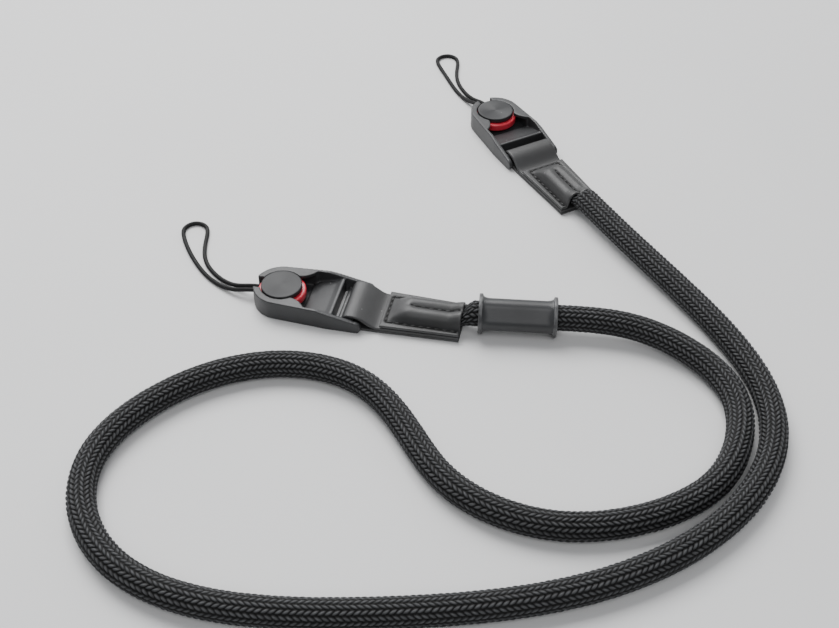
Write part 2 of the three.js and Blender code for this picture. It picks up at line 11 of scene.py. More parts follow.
import bmesh
import bpy
import numpy as np
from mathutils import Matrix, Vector


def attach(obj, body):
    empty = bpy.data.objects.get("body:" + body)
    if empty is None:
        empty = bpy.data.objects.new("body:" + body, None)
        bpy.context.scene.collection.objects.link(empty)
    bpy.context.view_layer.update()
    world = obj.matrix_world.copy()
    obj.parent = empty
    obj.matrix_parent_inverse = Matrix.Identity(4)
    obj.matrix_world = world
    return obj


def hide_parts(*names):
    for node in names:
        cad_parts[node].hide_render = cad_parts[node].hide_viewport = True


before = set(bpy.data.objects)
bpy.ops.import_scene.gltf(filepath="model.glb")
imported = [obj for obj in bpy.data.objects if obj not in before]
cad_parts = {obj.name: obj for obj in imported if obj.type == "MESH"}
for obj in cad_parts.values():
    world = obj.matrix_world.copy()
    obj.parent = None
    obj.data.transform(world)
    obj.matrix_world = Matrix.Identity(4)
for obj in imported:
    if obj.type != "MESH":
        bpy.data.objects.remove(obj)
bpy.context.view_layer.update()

MM = 0.001

# %% [markdown]
# The camera comes first, because every other choice is judged through it.
# The photograph looks down at about 42 degrees. Its lens is long enough to keep the far end of the
# strap nearly as large as the near end, and a focal length of 1300 pixels on a picture 839 pixels
# wide gives the same narrowing. Blender wants that as millimetres on its 36 mm wide sensor.

# %% Camera
SENSOR = 36  # millimetres
PICTURE_WIDTH = 839
FOCAL_PIXELS = 1300
LOOK_DOWN = 42  # degrees
CAMERA_PLACE = (0.05773, -0.41276, 0.364)


def new_object(name, data):
    """An object that shows that data, linked into the scene."""
    made = bpy.data.objects.new(name, data)
    bpy.context.collection.objects.link(made)
    return made


camera_data = bpy.data.cameras.new("camera")
camera_data.sensor_width = SENSOR
camera_data.lens = FOCAL_PIXELS * SENSOR / PICTURE_WIDTH
camera = new_object("camera", camera_data)
camera.location = CAMERA_PLACE
camera.rotation_euler = (math.radians(90 - LOOK_DOWN), 0, 0)
bpy.context.scene.camera = camera
print("lens:", round(camera_data.lens, 2), "mm")

# %% [markdown]
# The rope lies in one long loose loop. Its route is a short list of given points, and a
# uniform cubic B-spline runs through their neighbourhood. That curve was chosen over one that passes
# through each point because its bends stay even, as a stiff rope's do, however roughly the points
# are placed. One extra point before the first and after the last makes it start and end on them.

# %% The rope's route
ROPE_ROUTE = [
    (0.076, -0.01657, 0.0084),
    (0.08, -0.01744, 0.0084),
    (0.0845, -0.01775, 0.0084),
    (0.092, -0.01835, 0.0084),
    (0.104, -0.0193, 0.0084),
    (0.117, -0.02035, 0.0084),
    (0.13, -0.0214, 0.0084),
    (0.146, -0.0246, 0.0078),
    (0.162, -0.034, 0.0067),
    (0.175, -0.048, 0.0057),
    (0.181, -0.066, 0.0055),
    (0.177, -0.087, 0.0055),
    (0.1665, -0.106, 0.0055),
    (0.149, -0.118, 0.0055),
    (0.128, -0.125, 0.0055),
    (0.105, -0.1265, 0.0055),
    (0.082, -0.1185, 0.0055),
    (0.063, -0.102, 0.0055),
    (0.0525, -0.0765, 0.0055),
    (0.037, -0.052, 0.0055),
    (0.01, -0.042, 0.0055),
    (-0.019, -0.046, 0.0055),
    (-0.046, -0.063, 0.0055),
    (-0.065, -0.089, 0.0055),
    (-0.064, -0.1195, 0.0055),
    (-0.046, -0.145, 0.0055),
    (-0.018, -0.158, 0.0055),
    (0.014, -0.162, 0.0055),
    (0.048, -0.1615, 0.0055),
    (0.082, -0.159, 0.0055),
    (0.115, -0.1525, 0.0055),
    (0.146, -0.139, 0.0055),
    (0.172, -0.119, 0.0055),
    (0.19, -0.0915, 0.0055),
    (0.1935, -0.0605, 0.0055),
    (0.183, -0.028, 0.0056),
    (0.167, 0.001, 0.0064),
    (0.1482, 0.0311, 0.0081),
    (0.1314, 0.0631, 0.0084),
]
ROPE_RADIUS = 5.5 * MM


def with_end_points(route):
    """The route with one more point past each end, in line with the last two."""
    p = np.array(route, float)
    return np.vstack([2 * p[0] - p[1], p, 2 * p[-1] - p[-2]])


def distances(line):
    """How far along the line each of its points lies."""
    return np.concatenate([[0], np.cumsum(np.linalg.norm(np.diff(line, axis=0), axis=1))])


def spaced(line, step):
    """The line again, with its points one step apart."""
    along = distances(line)
    at = np.linspace(0, along[-1], max(2, round(along[-1] / step) + 1))
    return np.stack([np.interp(at, along, line[:, k]) for k in range(3)], axis=1)


def drawn_line(route, step):
    """Points along the smooth curve that the route's points pull towards them."""
    p = with_end_points(route)
    u = np.linspace(0, 1, 30, endpoint=False)[:, None]
    weights = (
        (1 - u) ** 3 / 6,
        (3 * u**3 - 6 * u**2 + 4) / 6,
        (-3 * u**3 + 3 * u**2 + 3 * u + 1) / 6,
        u**3 / 6,
    )
    spans = [sum(w * p[i + j] for j, w in enumerate(weights)) for i in range(len(p) - 3)]
    return spaced(np.vstack([*spans, p[-2]]), step)


def length_of(line):
    return float(np.linalg.norm(np.diff(line, axis=0), axis=1).sum())


rope_line = drawn_line(ROPE_ROUTE, 0.5 * MM)

# %% [markdown]
# Under the braid a rope has a core of straight fibres. Here it is a NURBS curve with a round bevel,
# a little thinner than the rope, so that only darkness shows between the stitches. A cubic NURBS
# without clamped ends, given the same extra end points, is exactly the route's own B-spline, and so
# the curve that Blender draws is the line that the braid will follow.
# The bevel is one metre and each point's radius brings it down to size, because Blender counts a
# point's radius in the curve's own box. At both ends the core sinks and thins, where the braid round
# it is pressed flat.

# %% The rope's core
CORE_RADIUS = 4.7 * MM
CORE_END_SHARES = (0.2, 0.3, 0.72)  # the thinner points at each end
CORE_END_DROPS = (0.0024, 0.0018, 0.0)  # metres


def core_curve(name, route):
    data = bpy.data.curves.new(name, "CURVE")
    data.dimensions = "3D"
    spline = data.splines.new("NURBS")
    points = with_end_points(route)
    radii = np.full(len(points), CORE_RADIUS)
    for k, (share, drop) in enumerate(zip(CORE_END_SHARES, CORE_END_DROPS)):
        for end in (k, -1 - k):
            radii[end] *= share
            points[end, 2] -= drop
    spline.points.add(len(points) - 1)
    for point, place, radius in zip(spline.points, points, radii):
        point.co = (*place, 1)
        point.radius = radius
    spline.order_u = 4
    spline.use_endpoint_u = False
    spline.resolution_u = 10
    data.bevel_depth = 1
    data.bevel_resolution = 3
    data.use_fill_caps = True
    return new_object(name, data)


rope_core = core_curve("rope_core", ROPE_ROUTE)
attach(rope_core, "strap")
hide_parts("rope")
print("core:", 2 * CORE_RADIUS / MM, "mm across, through", len(ROPE_ROUTE) + 2, "points")

# %% [markdown]
# The braid has 32 strands, 16 winding each way, and each passes over two and under two. What shows
# is a float: the short stretch of a strand that lies on top. Floats stand in columns along the rope,
# leaning left in one column and right in the next, like the bones of a herring.
# The photograph gives 16 columns round the rope and a stitch every 2.3 mm along each one. The mesh
# is a tube whose rows zigzag with the columns, so its edges run along the strands and few rows are
# enough for clean gaps. Each point is then raised by a formula: a float is highest at its middle,
# rounds off to its sides, and dips under its neighbours at both ends.

# %% How high the braid stands at one point
FLOAT_REACH = 0.57  # half a float's length, in columns: it runs on a little under its neighbours
UNEVEN = 0.1  # how much floats differ in height


def float_height(across, along, column, seeds):
    """Height from 0 to 1 of one column's floats, where across is in columns and along in stitches."""
    lean = np.where(column % 2 == 0, 1, -1)
    offset = np.where(column % 2 == 0, 0, 0.5)
    from_middle = across - column - 0.5
    place = along - offset - lean * from_middle
    stitch = np.round(place)
    side = 2 * np.abs(place - stitch)
    end = np.abs(from_middle) / FLOAT_REACH
    rounding = np.sqrt(np.clip(1 - side**2.4, 0, 1))
    dip = np.clip(1 - end**2, 0, 1)
    uneven = seeds[(stitch.astype(int) * 7 + column.astype(int) * 13) % len(seeds)]
    return rounding * dip * (1 - UNEVEN * uneven)


def braid_height(across, along, columns, seeds):
    """The highest of the floats of a point's own column and of the columns beside it."""
    own = np.floor(across)
    beside = [float_height(across, along, own + k, seeds) for k in (-1, 0, 1)]
    return np.maximum.reduce(beside)


print("a float is", 2 * FLOAT_REACH, "columns long")

# %% [markdown]
# The same function weaves the rope and the two thin anchor cords. It also writes a UV map that
# counts columns one way and stitches the other, which the weave shader reads to draw the fibres.
# The frame across the line is kept level, not twisted, since the route never turns steeply up.
# Long ropes are cut into several meshes so that no single piece grows too heavy.

# %% Meshes from points
def unit(vectors):
    """The same directions, each one long."""
    return vectors / np.linalg.norm(vectors, axis=-1, keepdims=True)


def new_mesh(name, points, faces, uvs=None):
    """A smooth mesh. The UVs are given for each corner of each face."""
    mesh = bpy.data.meshes.new(name)
    mesh.from_pydata(points.reshape(-1, 3).tolist(), [], faces)
    if uvs is not None:
        layer = mesh.uv_layers.new(name="UVMap")
        layer.data.foreach_set("uv", uvs.ravel().astype(np.float32))
    mesh.shade_smooth()
    return new_object(name, mesh)


def triangles(piece):
    return sum(len(face.vertices) - 2 for face in piece.data.polygons)


def ring_quads(rings, around, closed=False):
    """Faces that join each ring of points to the next one, and if closed the last to the first."""
    i, j = np.meshgrid(np.arange(rings - 1 + closed), np.arange(around), indexing="ij")
    onward, after = (i + 1) % rings, (j + 1) % around
    corners = (i * around + j, i * around + after, onward * around + after, onward * around + j)
    return np.stack(corners, -1).reshape(-1, 4).tolist()


# %% Weave a tube along a line
SEED_COUNT = 997  # a prime, so that floats side by side get different seeds


def level_frame(line):
    """For each point of the line: the way to its left, and the way up from it."""
    forward = unit(np.gradient(line, axis=0))
    left = unit(np.cross([0, 0, 1], forward))
    return left, np.cross(forward, left)


def braid_grid(length, columns, pitch, steps):
    """Rows and columns of the tube: where each vertex is round it, and how many stitches along it."""
    rows = int(length / pitch - 1) * steps + 1
    round_it = np.arange(columns * steps + 1) / steps
    zigzag = np.abs((round_it + 1) % 2 - 1)
    along = np.arange(rows)[:, None] / steps + zigzag[None, :]
    return np.broadcast_to(round_it, along.shape), along


def weave(names, line, radius, relief, columns, pitch, steps, squash=None):
    """Braided tube along a line, cut into one mesh for each name."""
    length = length_of(line)
    across, along = braid_grid(length, columns, pitch, steps)
    seeds = np.random.default_rng(7).random(SEED_COUNT)
    height = braid_height(np.minimum(across, columns - 1e-6), along, columns, seeds)
    height[:, -1] = height[:, 0]
    reach = radius - relief * (1 - height)
    angle = 2 * math.pi * across / columns
    place = along * pitch
    left, up = level_frame(line)
    stations = np.linspace(0, length, len(line))
    centre, left, up = (
        np.stack([np.interp(place, stations, vector[:, k]) for k in range(3)], axis=-1)
        for vector in (line, left, up)
    )
    sideways, upward = reach * np.cos(angle), reach * np.sin(angle)
    if squash is not None:
        sideways, upward = squash(sideways, upward, place, length)
    points = centre + sideways[..., None] * left + upward[..., None] * up
    cuts = np.linspace(0, len(along) - 1, len(names) + 1).astype(int)
    pieces = []
    for name, start, stop in zip(names, cuts[:-1], cuts[1:]):
        pieces.append(tube_mesh(name, points[start : stop + 1], across, along[start : stop + 1]))
    return pieces


def tube_mesh(name, points, across, along):
    """Joins rings of points into a tube, whose last column of points is its first one again."""
    rows, wide = points.shape[0], points.shape[1] - 1
    i, j = np.meshgrid(np.arange(rows - 1), np.arange(wide), indexing="ij")
    corner_rows = np.stack([i, i, i + 1, i + 1], -1)
    corner_columns = np.stack([j, j + 1, j + 1, j], -1)
    uvs = np.stack([across[0][corner_columns], along[corner_rows, corner_columns]], -1)
    return new_mesh(name, points[:, :wide], ring_quads(rows, wide), uvs)


# %% [markdown]
# At both ends the rope runs on into its leather sleeve, and there the stitching presses it flat.
# The flattening is a blend between the round section and a low one with a dip along its middle. It
# spreads over a few millimetres on both sides of the mouth, because a rope can't turn flat at once.

# %% Weave the rope
ROPE_COLUMNS = 16
ROPE_PITCH = 2.3 * MM
ROPE_RELIEF = 0.9 * MM
ROPE_STEPS = 6  # mesh steps across a column, and along a stitch
TUCK = 19 * MM  # how far the braid runs on inside a sleeve
NECK = 4.5 * MM  # how far outside the mouth the rope is round again
PRESSED = 3 * MM  # how far inside the mouth it is fully flat
FLAT_HALF_WIDTH = 5.3 * MM
FLAT_HALF_HEIGHT = 2.15 * MM
FLAT_DROP = 3.15 * MM  # from the round rope's axis down to the flat end's
SEAM_DIP = 1.2 * MM
SEAM_HALF_WIDTH = 1.7 * MM


def smoothstep(x):
    x = np.clip(x, 0, 1)
    return x * x * (3 - 2 * x)


def press_ends(sideways, upward, place, length):
    """Presses a section flat near both ends of the line."""
    from_end = np.minimum(place, length - place) - TUCK
    flat = 1 - smoothstep((from_end + PRESSED) / (PRESSED + NECK))
    low_side = sideways * FLAT_HALF_WIDTH / ROPE_RADIUS
    low_up = upward * FLAT_HALF_HEIGHT / ROPE_RADIUS
    dip = SEAM_DIP * np.exp(-((low_side / SEAM_HALF_WIDTH) ** 2)) * (low_up > 0)
    low_up = low_up - dip - FLAT_DROP
    return sideways + (low_side - sideways) * flat, upward + (low_up - upward) * flat


def run_on(line, extra, step):
    """The line with a straight stretch added at each end."""
    head, tail = unit(line[0] - line[1]), unit(line[-1] - line[-2])
    before = [line[0] + head * extra, line[0] + head * extra / 2]
    after = [line[-1] + tail * extra / 2, line[-1] + tail * extra]
    return spaced(np.vstack([before, line, after]), step)


braid_names = [f"rope_braid_{k + 1}" for k in range(4)]
rope_braid = weave(
    braid_names,
    run_on(rope_line, TUCK, 0.5 * MM),
    ROPE_RADIUS,
    ROPE_RELIEF,
    ROPE_COLUMNS,
    ROPE_PITCH,
    ROPE_STEPS,
    press_ends,
)
for piece in rope_braid:
    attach(piece, "strap")
    print(piece.name, triangles(piece), "triangles")
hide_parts("left_rope_end")
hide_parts("right_rope_end")

# %% [markdown]
# Each connector is drawn in a frame of its own: the origin lies under the axis of its disc, and +X
# points to the rope. That frame follows from the rope's end, so both connectors stay lined up with
# the rope whatever its route does.

# %% Where the two connectors lie
MOUTH = 77.5 * MM  # from the disc's axis to the tab's rope end
GAP = 0.3 * MM


def connector_frame(inner, outer):
    """The connector's origin and heading, from the rope's last point and the one before it."""
    heading = math.atan2(outer[1] - inner[1], outer[0] - inner[0])
    along = np.array([math.cos(heading), math.sin(heading), 0])
    origin = np.array([inner[0], inner[1], 0]) - along * (MOUTH + GAP)
    return origin, along, np.array([-along[1], along[0], 0])


SIDES = {
    "left": connector_frame(ROPE_ROUTE[0], ROPE_ROUTE[1]),
    "right": connector_frame(ROPE_ROUTE[-1], ROPE_ROUTE[-2]),
}


def placed(points, side):
    """Points of a connector's own frame, put where that connector lies."""
    origin, along, left = SIDES[side]
    p = np.asarray(points, float)
    return origin + p[..., 0:1] * along + p[..., 1:2] * left + p[..., 2:3] * np.array([0, 0, 1.0])


for side, (origin, along, _) in SIDES.items():
    print(side, "connector at", np.round(origin * 1000, 1), "mm")

# %% [markdown]
# The anchor cord is a thin braided loop that goes through a camera's eyelet. Its two strands leave
# the anchor side by side and open out into a teardrop. The table holds the middle of the pair and
# half the distance between them, so one row places both strands.

# %% Anchor cords
CORD_RADIUS = 1 * MM
CORD_RELIEF = 0.16 * MM
CORD_COLUMNS = 8
CORD_PITCH = 0.95 * MM
CORD_STEPS = 4
CORD_HIGH = 5.1  # millimetres, as all the rows below
AT_ANCHOR = [(-7, 0, CORD_HIGH, 1.3), (-12, 0, CORD_HIGH, 1.3)]
LOOPS = {
    "left": (
        [
            *AT_ANCHOR,
            (-17, 0.3, 3.9, 1.4),
            (-22.5, 1.4, 1.9, 1.5),
            (-29, 4.2, 1, 1.6),
            (-36, 9, 1, 1.7),
            (-42.5, 16, 1, 2),
            (-47.3, 24.5, 1, 3.6),
            (-50.6, 33, 1, 5.4),
            (-52.8, 39, 1, 5.6),
        ],
        (-54, 42.3, 1),
    ),
    "right": (
        [
            *AT_ANCHOR,
            (-17, -0.2, 3.9, 1.4),
            (-22.5, -0.6, 1.9, 1.5),
            (-29, -1, 1, 1.6),
            (-37, -0.6, 1, 1.7),
            (-45, 1, 1, 2),
            (-53, 3.6, 1, 3.4),
            (-60, 6.4, 1, 5.2),
            (-66, 8.6, 1, 5.7),
        ],
        (-69.4, 9.8, 1),
    ),
}


def loop_route(rows, tip):
    """Out along one strand, round the tip and back along the other, in the connector's frame."""
    middles = np.array([row[:3] for row in rows], float)
    halves = np.array([row[3] for row in rows], float)[:, None]
    before = np.vstack([middles[:1], middles[:-1]])
    after = np.vstack([middles[1:], [tip]])
    along = unit((after - before) * [1, 1, 0])
    side = np.stack([-along[:, 1], along[:, 0], np.zeros(len(along))], axis=1)
    out, back = middles + side * halves, middles - side * halves
    return np.vstack([out, [tip], back[::-1]]) * MM


anchor_cords = {}
for side, (rows, tip) in LOOPS.items():
    route = placed(loop_route(rows, tip), side)
    line = drawn_line(route, 0.2 * MM)
    names = [f"{side}_anchor_cord_braid"]
    (cord,) = weave(names, line, CORD_RADIUS, CORD_RELIEF, CORD_COLUMNS, CORD_PITCH, CORD_STEPS)
    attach(cord, "strap")
    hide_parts(f"{side}_anchor_cord")
    anchor_cords[side] = cord
    print(cord.name, round(length_of(line), 3), "m,", triangles(cord), "triangles")

# %% [markdown]
# Leather is a sheet with one thickness and a cut edge all round. Every leather piece here is made the
# same way: a middle surface, and the half thickness laid off it to both sides. The half thickness
# falls to nothing at the border along a quarter circle, so the cut edge comes out rounded, as
# bevelled and polished leather edges are, and the two sides meet in one closed skin. Solidify would
# do it too, but it leaves square edges, which a bevel would then have to find again.

# %% Make a leather sheet
LEATHER = 1.3 * MM
EDGE_ROUND = 0.5 * MM


def quarter_round(count):
    """Two shares along a rounded edge: one that rises from 0 to 1, and one that falls from 1 to 0."""
    turn = np.linspace(0, math.pi / 2, count)
    return 1 - np.cos(turn), 1 - np.sin(turn)


def edge_spacing(length, step):
    """Distances from 0 to length, close together at both ends, where the edges are rounded."""
    near = EDGE_ROUND * quarter_round(5)[0][:-1]
    count = max(2, round((length - 2 * EDGE_ROUND) / step))
    middle = np.linspace(EDGE_ROUND, length - EDGE_ROUND, count)
    return np.concatenate([near, middle, (length - near)[::-1]])


def leather_sheet(name, middle, half_thickness, dents, side):
    """Closed skin round a grid of middle points, in the connector's frame. The border is its edge."""
    rows, columns = middle.shape[:2]
    down, across = (np.gradient(middle, axis=k) for k in (0, 1))
    offset = unit(np.cross(down, across)) * half_thickness[..., None]
    top, bottom = middle + offset, middle - offset
    number = np.arange(rows * columns).reshape(rows, columns)
    under = number + rows * columns
    border = np.zeros((rows, columns), bool)
    border[[0, -1], :] = True
    border[:, [0, -1]] = True
    under[border] = number[border]
    faces = []
    for grid, way_round in ((number, 1), (under, -1)):
        corners = (grid[:-1, :-1], grid[1:, :-1], grid[1:, 1:], grid[:-1, 1:])[::way_round]
        faces += np.stack(corners, -1).reshape(-1, 4).tolist()
    piece = new_mesh(name, placed([top, bottom], side), faces)
    # These marks place the pale cut edge, partly painted highlight, and the painted shade in the stitch
    # dents.
    short = 1 - half_thickness / (half_thickness + dents / 2).max() - dents / LEATHER
    for label, values in (("cut_edge", short), ("stitched", dents / max(dents.max(), MM / 100))):
        mark = piece.data.attributes.new(label, "FLOAT", "POINT")
        mark.data.foreach_set("value", np.tile(values.ravel(), 2).astype(np.float32))
    remove_loose_points(piece.data)
    return piece


def remove_loose_points(mesh):
    """The lower border points are never used, because the border belongs to the upper side."""
    work = bmesh.new()
    work.from_mesh(mesh)
    bmesh.ops.delete(work, geom=[v for v in work.verts if not v.link_faces], context="VERTS")
    work.to_mesh(mesh)
    work.free()


def rounded(distance, thickness):
    """Half thickness at a distance from the sheet's edge."""
    short = 1 - np.clip(distance / EDGE_ROUND, 0, 1)
    return thickness / 2 * np.sqrt(1 - short**2)


# %% [markdown]
# Each tab is one strip of leather, folded round the connector's bar with its two halves lying on each
# other. Only its middle line has to be drawn: along the bottom from the rope, round the bar, and
# back on top. The strip follows that line and narrows towards the rope.

# %% Tab straps
TAB_WIDTH = 22.6 * MM
TAB_END_WIDTH = 20 * MM
TAPER_FROM = 40 * MM
BAR_X = 31.5 * MM
BAR_Z = 4 * MM
FOLD_RADIUS = 2.65 * MM  # from the bar's axis to the middle of the leather
LOWER_LAYER = 0.65 * MM
UPPER_LAYER = 1.95 * MM
LAYER_PLAY = 0.03 * MM  # by which the strip is thinner, so that its two layers don't touch
TAB_STEPS = (0.8 * MM, 0.6 * MM)  # of the grid: along the strip, and across it


def tab_half_width(x):
    share = np.clip((x - TAPER_FROM) / (MOUTH - TAPER_FROM), 0, 1)
    return (TAB_WIDTH + (TAB_END_WIDTH - TAB_WIDTH) * share) / 2


def bezier(*points):
    """Points along one Bezier curve of any degree."""
    t = np.linspace(0, 1, 40)[:, None]
    points = [np.asarray(p, float) + 0 * t for p in points]
    while len(points) > 1:
        points = [a * (1 - t) + b * t for a, b in zip(points[:-1], points[1:])]
    return points[0]


def strap_line():
    """The folded strip's middle line, seen from the side: X and Z."""
    turn = np.linspace(-math.pi / 2, -3 * math.pi / 2, 40)[:, None]
    fold = np.hstack([BAR_X + FOLD_RADIUS * np.cos(turn), BAR_Z + FOLD_RADIUS * np.sin(turn)])
    top = BAR_Z + FOLD_RADIUS
    lower_bend = bezier((BAR_X + 6 * MM, LOWER_LAYER), (BAR_X + 3 * MM, LOWER_LAYER), fold[0])
    leaves_bar = (BAR_X + MM, top), (37.5 * MM, top)
    meets_lower = (39.5 * MM, UPPER_LAYER), (44 * MM, UPPER_LAYER)
    upper_bend = bezier(*leaves_bar, *meets_lower)
    return np.vstack([(MOUTH, LOWER_LAYER), lower_bend, fold[1:], upper_bend, (MOUTH, UPPER_LAYER)])


def sheet_grid(x, along, length, step, thickness):
    """Each grid point's place across the sheet, and half the leather's thickness there."""
    half = tab_half_width(x)
    across = edge_spacing(TAB_WIDTH, step) - TAB_WIDTH / 2
    y = across[None, :] * half / (TAB_WIDTH / 2)
    from_end = np.minimum(along, length - along)[:, None]
    return y, rounded(np.minimum(half - np.abs(y), from_end), thickness)


def tab_strap(side):
    line = strap_line()
    length = length_of(line)
    along = edge_spacing(length, TAB_STEPS[0])
    x, z = (np.interp(along, distances(line), line[:, k])[:, None] for k in (0, 1))
    y, thickness = sheet_grid(x, along, length, TAB_STEPS[1], LEATHER - LAYER_PLAY)
    lower = along[:, None] < length / 2
    dents = stitch_dents(x, y) * lower * (x > SLEEVE_START)
    middle = np.stack([x + 0 * y, y, z + dents / 2], -1)
    return leather_sheet(f"{side}_tab_leather", middle, thickness - dents / 2, dents, side)


print("tab strip:", round(length_of(strap_line()) / MM, 1), "mm long, laid flat")

# %% [markdown]
# A second sheet is sewn down over the rope's flattened end. Its edges lie flat on the tab, its middle
# rises in a broad hump over the rope, and a seam along the middle pulls that hump into two. The
# height is one formula of the place along and across the tab. The stitches pull small dents into the
# leather, which the same grid carries.

# %% Stitch lines
SLEEVE_LENGTH = 33 * MM
SLEEVE_START = MOUTH - SLEEVE_LENGTH
STITCH_PITCH = 3.3 * MM
STITCH_GAP = 1.1 * MM
SIDE_SEAM = 7.9 * MM
FRONT_SEAM = SLEEVE_START + 1.9 * MM
MIDDLE_SEAM_FROM = MOUTH - 22 * MM
SEAM_END = MOUTH - 1.2 * MM
DENT = 0.55 * MM
DENT_WIDTH = 0.75 * MM


def seam_stitches(start, end):
    """Start and end of each stitch of one straight seam, seen from above."""
    start, end = np.array(start, float), np.array(end, float)
    count = max(1, round(np.linalg.norm(end - start) / STITCH_PITCH))
    inset = unit(end - start) * STITCH_GAP / 2
    holes = start + (end - start) * np.arange(count + 1)[:, None] / count
    return [(a + inset, b - inset) for a, b in zip(holes, holes[1:])]


SIDE_SEAMS = [((FRONT_SEAM, y), (SEAM_END, y)) for y in (-SIDE_SEAM, SIDE_SEAM)]
ACROSS_SEAM = ((FRONT_SEAM, -SIDE_SEAM), (FRONT_SEAM, SIDE_SEAM))
MIDDLE_SEAM = ((MIDDLE_SEAM_FROM, 0), (SEAM_END, 0))
SEAMS = (*SIDE_SEAMS, ACROSS_SEAM, MIDDLE_SEAM)
STITCHES = [stitch for seam in SEAMS for stitch in seam_stitches(*seam)]
print("stitches on one side of a tab:", len(STITCHES))


def stitch_dents(x, y):
    """How deep the stitches pull the leather down at each point."""
    x, y = np.broadcast_arrays(x, y)
    depth = np.zeros(x.shape)
    for start, end in STITCHES:
        run = end - start
        share = ((x - start[0]) * run[0] + (y - start[1]) * run[1]) / run.dot(run)
        nearest = np.clip(share, 0, 1)
        away = np.hypot(x - start[0] - nearest * run[0], y - start[1] - nearest * run[1])
        at_hole = 0.75 + 0.25 * np.abs(2 * nearest - 1) ** 3
        depth = np.maximum(depth, DENT * at_hole * np.exp(-((away / DENT_WIDTH) ** 4)))
    return depth


# %% Sleeves over the rope's ends
SLEEVE_BASE = 2 * LEATHER + GAP
SLEEVE_STEPS = (0.42 * MM, 0.34 * MM)
HUMP_HALF_WIDTH = 6.55 * MM
HUMP_RISE = 5 * MM
HUMP_POWER = 2.6
MOUTH_FLARE = 0.3  # the round rope props the sleeve's mouth open by this share
FLARE_LENGTH = 6 * MM
GROOVE_DEPTH = 1.5 * MM
GROOVE_HALF_WIDTH = 2 * MM
HUMP_FROM, HUMP_OVER = 0.045, 0.3  # where the humps start to rise, and over how much, as shares
GROOVE_FROM, GROOVE_OVER = 0.16, 0.34  # of the sleeve's length, and the same for the groove


def hump_height(x, y):
    """How far the sleeve's middle surface stands above its sewn edges."""
    along = (x - SLEEVE_START) / SLEEVE_LENGTH
    flare = 1 + MOUTH_FLARE * smoothstep((x - MOUTH) / FLARE_LENGTH + 1)
    rise = HUMP_RISE * flare * smoothstep((along - HUMP_FROM) / HUMP_OVER) ** 0.8
    groove = GROOVE_DEPTH * smoothstep((along - GROOVE_FROM) / GROOVE_OVER)
    share = np.abs(y) / HUMP_HALF_WIDTH
    arch = np.clip(1 - share**HUMP_POWER, 0, 1) ** (1 / HUMP_POWER)
    dip = np.exp(-((y / GROOVE_HALF_WIDTH) ** 2))
    return (rise - groove * dip) * arch


def sleeve(side):
    along = edge_spacing(SLEEVE_LENGTH, SLEEVE_STEPS[0])
    x = (SLEEVE_START + along)[:, None]
    y, thickness = sheet_grid(x, along, SLEEVE_LENGTH, SLEEVE_STEPS[1], LEATHER)
    dents = stitch_dents(x, y)
    height = SLEEVE_BASE + LEATHER / 2 + soft_humps(x, y) - dents / 2
    middle = np.stack([x + 0 * y, y, height], -1)
    return leather_sheet(f"{side}_sleeve_leather", middle, thickness - dents / 2, dents, side)


def soft_humps(x, y):
    """The humps with the creases at their feet rounded out, as leather bends."""
    reach = 0.5 * MM
    steps = (-1, -0.5, 0, 0.5, 1)
    return sum(hump_height(x, y + step * reach) for step in steps) / len(steps)


def sleeve_top(x, y):
    """Height of the sleeve's upper side, dents included."""
    return SLEEVE_BASE + LEATHER + soft_humps(x, y) - stitch_dents(x, y)


print("sleeve's mouth:", round(float(sleeve_top(MOUTH, HUMP_HALF_WIDTH / 2)) / MM, 1), "mm high")

# %% [markdown]
# Each stitch is a short piece of waxed thread that comes out of one hole and goes into the next. It
# is a spindle: thick in the middle, bowed up a little, with its two ends sunk in the leather. All
# the stitches of a tab are one mesh, above and below, since they are one thread.

# %% Stitches
THREAD_RADIUS = 0.34 * MM
THREAD_SIDES = 8
THREAD_RINGS = 9
THREAD_BOW = 0.2 * MM
THREAD_SUNK = 0.08 * MM
THREAD_SLANT = 0.12 * MM  # how far each end lies beside the seam
THREAD_ABOVE = 0.2 * MM  # from the sleeve's upper side
THREAD_BELOW = 0.47 * MM  # from the floor, for the stitches under the tab


def thread_spindle(start, end, up):
    """Rings of points from one hole to the next."""
    t = np.linspace(0, 1, THREAD_RINGS)[:, None, None]
    turn = np.linspace(0, 2 * math.pi, THREAD_SIDES, endpoint=False)[None, :, None]
    bow = THREAD_BOW * (1 - (2 * t - 1) ** 2) - THREAD_SUNK
    radius = THREAD_RADIUS * np.sqrt(np.clip(1.02 - (2 * t - 1) ** 4, 0, 1))
    left = np.cross(up, unit(end - start))
    return start + (end - start) * t + up * bow + radius * (left * np.cos(turn) + up * np.sin(turn))


def closed_tubes(name, tubes):
    """Joins equal tubes of rings, with their ends closed, into one mesh."""
    rings, sides = tubes[0].shape[:2]
    quads = np.array(ring_quads(rings, sides))
    faces = []
    for k in range(len(tubes)):
        first = k * rings * sides
        faces += (quads + first).tolist()
        faces.append(list(range(first + sides - 1, first - 1, -1)))
        faces.append(list(range(first + (rings - 1) * sides, first + rings * sides)))
    return new_mesh(name, np.concatenate(tubes), faces)


def stitches(side):
    tubes = []
    for start, end in STITCHES:
        forward = unit(end - start)
        slant = THREAD_SLANT * np.array([-forward[1], forward[0]])
        a, b = start - slant, end + slant
        above = [np.array([*p, float(sleeve_top(*p)) + THREAD_ABOVE]) for p in (a, b)]
        below = [np.array([*p, THREAD_BELOW]) for p in (b, a)]
        for ends, up in ((above, 1.0), (below, -1.0)):
            tubes.append(placed(thread_spindle(*ends, np.array([0, 0, up])), side))
    return closed_tubes(f"{side}_stitches", tubes)


